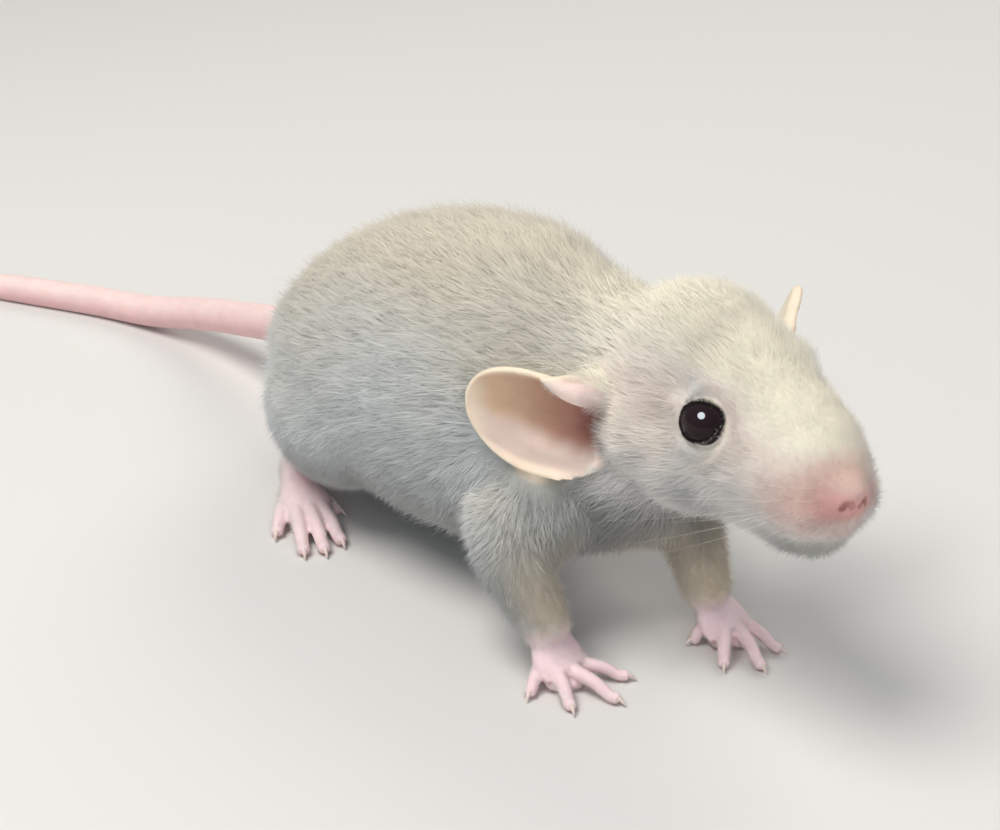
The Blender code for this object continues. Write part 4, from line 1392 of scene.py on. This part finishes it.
    def piece(self, name: str, tuft: dict, bends: bool, limb: bool) -> bpy.types.Object:
        """Makes the mesh of one piece of the coat.

        Args:
            name: the piece's name.
            tuft: what grown() returns, for this piece's tufts.
            bends: gives each tuft a ring at its middle.
            limb: unwraps the piece about the legs.

        Returns:
            The finished piece, in place.
        """
        at, normal, count = tuft["at"], tuft["normal"], len(tuft["at"])
        run = unit(tuft["tip"] - at)
        side = unit(np.cross(run, normal))
        rise = np.cross(side, run)
        wide = tuft["wide"][:, None]
        spots = [(at - normal * 0.25, 0.85), (tuft["middle"], 1.0)][: 2 if bends else 1]
        points, normals, rows = [], [], []
        for middle, size in spots:
            points += [middle - side * wide * size, middle + rise * wide * size * 0.7, middle + side * wide * size]
            normals += [rise * 0.2 - side, rise, rise * 0.2 + side]
            rows.append(middle)
        points.append(tuft["tip"])
        normals.append(rise * 0.6 + run * 0.4)
        per = len(points)
        points = np.stack(points, axis=1).reshape(-1, 3)
        waves = [ripple(at, 3.2, 51 + k) + 0.6 * ripple(at, 1.6, 61 + k) for k in range(3)]
        facing = np.repeat(unit(normal + self.plush * np.stack(waves, axis=1)), per, axis=0)
        normals = unit(unit(np.stack(normals, axis=1).reshape(-1, 3)) * (1 - self.softness) + facing * self.softness)
        if bends:
            faces = [(0, 2, 1)]
            for a, b in ((0, 1), (1, 2), (2, 0)):
                faces += [(a, b, b + 3), (a, b + 3, a + 3), (a + 3, b + 3, 6)]
            tip_share = np.array((0, 0, 0, 0.5, 0.5, 0.5, 1.0))
        else:
            faces = [(0, 2, 1), (0, 1, 3), (1, 2, 3), (2, 0, 3)]
            tip_share = np.array((0, 0, 0, 1.0))
        faces = np.array(faces, np.int32)
        loops = (faces[None] + per * np.arange(count, dtype=np.int32)[:, None, None]).reshape(-1)
        mesh = bpy.data.meshes.new(name)
        mesh.vertices.add(len(points))
        mesh.vertices.foreach_set("co", ((points - CENTRE) * MM).astype(np.float32).ravel())
        mesh.loops.add(len(loops))
        mesh.loops.foreach_set("vertex_index", loops)
        mesh.polygons.add(len(loops) // 3)
        mesh.polygons.foreach_set("loop_start", np.arange(0, len(loops), 3, dtype=np.int32))
        mesh.update(calc_edges=True)
        mesh.shade_smooth()
        home = self.chart(at, limb)
        across = np.array((-0.5, 0.0, 0.5, -0.5, 0.0, 0.5, 0.0) if bends else (-0.5, 0.0, 0.5, 0.0))
        spot = np.stack((np.tile(tip_share - 0.5, count), np.tile(across, count)), axis=1) * self.patch
        uv = np.repeat(home, per, axis=0) + spot
        layer = mesh.uv_layers.new(name="OFBake")
        layer.uv.foreach_set("vector", uv[loops].astype(np.float32).ravel())
        mesh.normals_split_custom_set_from_vertices(normals.astype(np.float32))
        made = bpy.data.objects.new(name, mesh)
        bpy.context.scene.collection.objects.link(made)
        write_values(made, "tone", np.repeat(tuft["tone"], per, axis=0))
        write_values(made, "tip", np.tile(tip_share, count))
        write_values(made, "shade", np.repeat(tuft["shade"], per))
        return made

    def build(self, skin_object: bpy.types.Object) -> list:
        """Grows the whole coat over a skin and divides it into pieces."""
        self.skin_object = skin_object
        hide = self.skin.hide
        rng = np.random.default_rng(self.seed)
        fine = np.maximum(hide.face, ramp(2.8, 1.6, hide.length))
        made = []
        for kind, share, word in (
            (self.over, (1 - fine) * (hide.length > 0.9), "over"),
            (self.under, (1 - fine) * (hide.length > 0.9), "under"),
            (self.short, fine * ramp(0.12, 0.5, hide.length), "short"),
        ):
            tuft = self.grown(kind, self.roots(kind, share, rng), rng)
            per = 10 if kind.bends else 4
            for limb in (False, True):
                chosen = np.flatnonzero((tuft["limb"] > 0.5) == limb)
                chosen = chosen[np.argsort(tuft["at"][chosen, 0])]
                parts = max(1, math.ceil(len(chosen) * per / self.most))
                for k, ids in enumerate(np.array_split(chosen, parts)):
                    name = f"coat_{word}_{'legs' if limb else 'body'}_{k}"
                    part = {key: value[ids] for key, value in tuft.items()}
                    made.append(self.piece(name, part, kind.bends, limb))
                    LOG.info("%s: %d tufts, %d triangles", name, len(ids), len(ids) * per)
        return made


# Eyes and whiskers


@dataclass
class Eyes:
    """Large, dark, wet eyes, each a full ball that sits as deep in the head as its lids leave it."""

    anatomy: Anatomy

    def build(self, side: Side) -> bpy.types.Object:
        """Makes one eye with a slightly steeper cornea."""
        body = self.anatomy
        made = ball(f"eyeball_{side.word}", (0.0, 0.0, 0.0), (1.0, 1.0, 1.0), segments=64)
        points = points_of(made)
        bulge = 1 + 0.03 * ramp(0.55, 0.95, points @ (body.look(side) @ body.turn.T))
        at = body.from_head(body.eye(side))
        put_points(made, points * (bulge * (body.eye_radius - 0.02))[:, None] + at)
        return made


@dataclass
class Whiskers:
    """Fine pale whiskers in rows on the whisker pads, swept out and back."""

    anatomy: Anatomy
    rows: int = 4
    each: int = 4
    shortest: float = 5.0
    longest: float = 14.0
    thick: float = 0.016
    seed: int = 5

    def build(self, tree: BVHTree) -> bpy.types.Object:
        """Roots the whiskers on the skin.

        Args:
            tree: the skin's surface, in the workshop's frame.

        Returns:
            All the whiskers as one piece, in the workshop's frame.
        """
        rng = np.random.default_rng(self.seed)
        made = []
        for side in Side:
            for r in range(self.rows):
                for k in range(self.each):
                    root = self.anatomy.from_head(np.array(whisker_root(r, k)) * (1, side.value, 1))
                    at = np.array(tree.find_nearest(Vector(root))[0])
                    length = self.shortest + (self.longest - self.shortest) * (k / (self.each - 1)) ** 0.8
                    length *= rng.uniform(0.85, 1.1)
                    out = np.array((0.05 - 0.20 * k, side.value * 1.0, 0.35 - 0.22 * r + rng.normal(0, 0.05)))
                    out = unit(out) @ self.anatomy.turn.T
                    bend = np.array((-0.55, 0.0, -0.12))
                    steps = np.linspace(-0.03, 1.0, 7)
                    route = at + length * (steps[:, None] * out + (steps**2)[:, None] * bend * 0.6)
                    radii = self.thick * np.linspace(1.0, 0.12, 7)
                    name = f"whisker_{side.word}_{r}_{k}"
                    made.append(swept(name, route, radii, sides=5, per_span=2, up=(0.3, 0.1, 1.0)))
        return joined("whiskers", made)


# Finishes


@dataclass(frozen=True)
class FurFinish:
    """Rat fur: keratin hair, matt from a distance because its gloss is split over many fine hairs.

    Its roots lie in the coat's own shade and its tips catch the light.
    """

    roughness: float = 0.75
    gloss: float = 0.2
    sheen: float = 0.3
    root_shade: float = 0.93
    tip_shade: float = 1.04
    spread: float = 0.10

    def material(self) -> bpy.types.Material:
        """Builds the finish from the tufts' own colours and shades, with painted shade at their roots and painted light
        towards their tips.
        """
        made, tree, shader = bare_material("fur")
        tone = add_node(tree, "ShaderNodeAttribute", attribute_name="tone")
        shade = add_node(tree, "ShaderNodeAttribute", attribute_name="shade")
        tip = add_node(tree, "ShaderNodeAttribute", attribute_name="tip")
        lift = add_node(
            tree,
            "ShaderNodeMapRange",
            {"Value": shade.outputs["Fac"], "To Min": 1 - self.spread, "To Max": 1 + self.spread * 0.6},
        )
        end = add_node(
            tree,
            "ShaderNodeMapRange",
            {"Value": tip.outputs["Fac"], "From Max": 0.8, "To Min": self.root_shade, "To Max": self.tip_shade},
        )
        level = add_node(tree, "ShaderNodeMath", {0: lift.outputs[0], 1: end.outputs[0]}, operation="MULTIPLY")
        tinted = add_node(
            tree, "ShaderNodeVectorMath", {0: tone.outputs["Color"], "Scale": level.outputs[0]}, operation="SCALE"
        )
        fill(shader, {"Base Color": tinted.outputs[0], "Roughness": self.roughness, "Specular IOR Level": self.gloss})
        fill(shader, {"Sheen Weight": self.sheen, "Sheen Roughness": 0.5})
        return made


@dataclass(frozen=True)
class SkinFinish:
    """Living skin, thin and pink over small vessels, glossier where it is bare, with fine creases.

    Under the coat it carries the coat's own colours. Light passes a little way into it.
    """

    roughness: float = 0.5
    depth: float = 0.0011
    glow: float = 0.25
    reach: tuple = (1.0, 0.35, 0.25)  # how far red, green and blue light pass into it, as shares of its depth
    crease: float = 0.28  # millimetres between the fine creases of feet and ears
    relief: float = 0.012  # their depth in millimetres

    def material(self) -> bpy.types.Material:
        """Builds the finish from the skin's own colours."""
        made, tree, shader = bare_material("living_skin")
        tone = add_node(tree, "ShaderNodeAttribute", attribute_name="tone")
        bare = add_node(tree, "ShaderNodeAttribute", attribute_name="bare")
        grain = add_node(tree, "ShaderNodeAttribute", attribute_name="grain")
        place = add_node(tree, "ShaderNodeTexCoord")
        mottle = add_node(
            tree,
            "ShaderNodeTexNoise",
            {"Vector": place.outputs["Object"], "Scale": 1 / (2.6 * MM), "Detail": 2.0, "Roughness": 0.5},
        )
        level = add_node(tree, "ShaderNodeMapRange", {"Value": mottle.outputs["Fac"], "To Min": 0.90, "To Max": 1.08})
        under = add_node(tree, "ShaderNodeMapRange", {"Value": bare.outputs["Fac"], "To Min": 0.92, "To Max": 1.0})
        both = add_node(tree, "ShaderNodeMath", {0: level.outputs[0], 1: under.outputs[0]}, operation="MULTIPLY")
        tinted = add_node(
            tree, "ShaderNodeVectorMath", {0: tone.outputs["Color"], "Scale": both.outputs[0]}, operation="SCALE"
        )
        fine = add_node(
            tree,
            "ShaderNodeTexVoronoi",
            {"Vector": place.outputs["Object"], "Scale": 1 / (self.crease * MM)},
            feature="F1",
        )
        bump = add_node(
            tree,
            "ShaderNodeBump",
            {"Strength": grain.outputs["Fac"], "Distance": self.relief * MM, "Height": fine.outputs["Distance"]},
        )
        gloss = add_node(tree, "ShaderNodeMapRange", {"Value": grain.outputs["Fac"], "To Min": 0.12, "To Max": 0.5})
        fill(shader, {"Base Color": tinted.outputs[0], "Normal": bump.outputs[0], "Roughness": self.roughness})
        fill(shader, {"Specular IOR Level": gloss.outputs[0], "Subsurface Weight": self.glow})
        fill(shader, {"Subsurface Radius": self.reach, "Subsurface Scale": self.depth})
        return made


@dataclass(frozen=True)
class EyeFinish:
    """A living eye: a wet, clear cornea over an iris so dark that it shows as black with a trace of red-brown."""

    colour: str = "#0E0708"
    roughness: float = 0.05
    ior: float = 1.376
    gloss: float = 0.25

    def material(self) -> bpy.types.Material:
        """Builds the finish."""
        made, _, shader = bare_material("wet_eye")
        fill(shader, {"Base Color": (*linear(self.colour), 1.0), "Roughness": self.roughness})
        fill(shader, {"IOR": self.ior, "Specular IOR Level": self.gloss})
        return made


@dataclass(frozen=True)
class HornFinish:
    """Claw horn and whisker keratin: thin, smooth and pale, with a soft gloss."""

    name: str
    colour: str
    roughness: float = 0.35
    ior: float = 1.55

    def material(self) -> bpy.types.Material:
        """Builds the finish."""
        made, _, shader = bare_material(self.name)
        fill(shader, {"Base Color": (*linear(self.colour), 1.0), "Roughness": self.roughness, "IOR": self.ior})
        return made


# Studio


@dataclass(frozen=True)
class Lamp:
    """One round soft light, in metres and watts, as large as a square one with this side."""

    name: str
    at: tuple
    to: tuple
    side: float
    power: float
    colour: tuple
    gleams: bool

    def hang(self) -> bpy.types.Object:
        """Puts the light in the scene."""
        data = bpy.data.lights.new(self.name, "AREA")
        data.shape = "DISK"
        data.size = self.side * DISK_FOR_SQUARE
        data.energy = self.power
        data.color = self.colour
        lamp = bpy.data.objects.new(self.name, data)
        bpy.context.scene.collection.objects.link(lamp)
        lamp.location = self.at
        lamp.rotation_euler = (Vector(self.to) - Vector(self.at)).to_track_quat("-Z", "Y").to_euler()
        lamp.visible_glossy = self.gleams
        return lamp


LAMPS = (
    Lamp("key", (0.02, -0.25, 0.60), (0.03, 0.0, 0.02), 0.34, 3.4, (1.0, 0.975, 0.93), True),
    Lamp("back", (-0.10, 0.42, 0.46), (0.03, 0.0, 0.02), 0.4, 1.35, (1.0, 0.94, 0.84), False),
    Lamp("fill", (0.55, -0.30, 0.30), (0.05, 0.0, 0.03), 0.5, 1.05, (0.90, 0.95, 1.0), False),
    Lamp("window", (0.189, -0.332, 0.468), (0.094, 0.0, 0.04), 0.32, 20.0, (0.86, 0.95, 1.0), True),
)


@dataclass
class Studio:
    """A plain pale floor, soft lights and the camera at the photograph's angle.

    The eyes have a light of their own, which shows in them as one window would.
    """

    floor: str = "#D9D7D3"
    camera_at: tuple = (0.26174, -0.14782, 0.15450)
    camera_way: tuple = (-0.7272, 0.5149, -0.4540)
    lens: float = 75.6
    sky: tuple = (0.80, 0.88, 1.0, 1.0)
    sky_strength: float = 0.31
    eyes: list = field(default_factory=list)

    def build(self) -> None:
        """Makes floor, lights, surroundings and camera."""
        bpy.ops.object.select_all(action="DESELECT")
        bpy.ops.mesh.primitive_plane_add(size=6.0)
        ground = bpy.context.active_object
        ground.name = "studio_floor"
        paper, _, shader = bare_material("matt_paper")
        fill(shader, {"Base Color": (*linear(self.floor), 1.0), "Roughness": 0.9})
        ground.data.materials.append(paper)
        world = bpy.data.worlds.new("soft_room")
        bpy.context.scene.world = world
        world.use_nodes = True
        fill(world.node_tree.nodes["Background"], {"Color": self.sky, "Strength": self.sky_strength})
        key, _, _, window = [lamp.hang() for lamp in LAMPS]
        for lamp, state in ((key, "EXCLUDE"), (window, "INCLUDE")):
            group = bpy.data.collections.new(f"eyes_under_{lamp.name}")
            for k, ball_object in enumerate(self.eyes):
                group.objects.link(ball_object)
                group.collection_objects[k].light_linking.link_state = state
            lamp.light_linking.receiver_collection = group
        data = bpy.data.cameras.new("camera")
        data.lens = self.lens
        data.sensor_width = 36.0
        camera = bpy.data.objects.new("camera", data)
        bpy.context.scene.collection.objects.link(camera)
        camera.location = self.camera_at
        camera.rotation_euler = Vector(self.camera_way).to_track_quat("-Z", "Y").to_euler()
        data.clip_start = 0.01
        bpy.context.scene.camera = camera
        bpy.context.scene.view_settings.view_transform = "Standard"


def dressed(obj: bpy.types.Object, finish: bpy.types.Material, slot: str, *nodes: str) -> None:
    """Gives a finished piece its material and its body, and hides the solids that it stands for."""
    obj.data.materials.clear()
    obj.data.materials.append(finish)
    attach(obj, "root")
    if nodes:
        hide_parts(*nodes)
    LOG.info("%s: %d faces", obj.name, len(obj.data.polygons))


def main() -> None:
    """Builds the rat in order and reports each piece."""
    logging.basicConfig(level=logging.INFO, format="%(relativeCreated)d %(message)s")
    anatomy = Anatomy()
    growth = Growth(anatomy)
    ears = {side: Ear(anatomy, side, **pose) for side, pose in EAR_POSES.items()}
    paws = (PAW_FORE_RIGHT, PAW_FORE_LEFT, PAW_HIND_RIGHT, PAW_HIND_LEFT)
    skin = Skin(anatomy, growth, Markings(), ears, paws, Tail())
    flesh = skin.build()
    coat = Coat(skin)
    tufts = coat.build(flesh)
    whiskers = Whiskers(anatomy).build(surface_of(flesh, skin.hide.points))
    horn = HornFinish("claw_horn", "#E2CDC3").material()
    hair = HornFinish("whisker_hair", "#E9E4DA", 0.4).material()
    fur = FurFinish().material()
    in_place(flesh)
    tail = ("tail_base", "tail_middle", "tail_tip")
    nodes = ("torso", "neck", "head", *anatomy.legs, *anatomy.feet, *tail, "ear_right", "ear_left")
    dressed(flesh, SkinFinish().material(), "bare_skin", *nodes)
    for piece in tufts:
        dressed(piece, fur, "coat")
        piece.visible_glossy = False
        piece.visible_shadow = "over" not in piece.name
    for paw in paws:
        dressed(in_place(paw.claws()), horn, "bare_skin")
    dressed(in_place(whiskers), hair, "coat")
    wet = EyeFinish().material()
    eyes = [in_place(Eyes(anatomy).build(side)) for side in Side]
    for side, ball_object in zip(Side, eyes):
        dressed(ball_object, wet, "eye", f"eye_{side.word}")
    Studio(eyes=eyes).build()


if __name__ == "__main__":
    main()
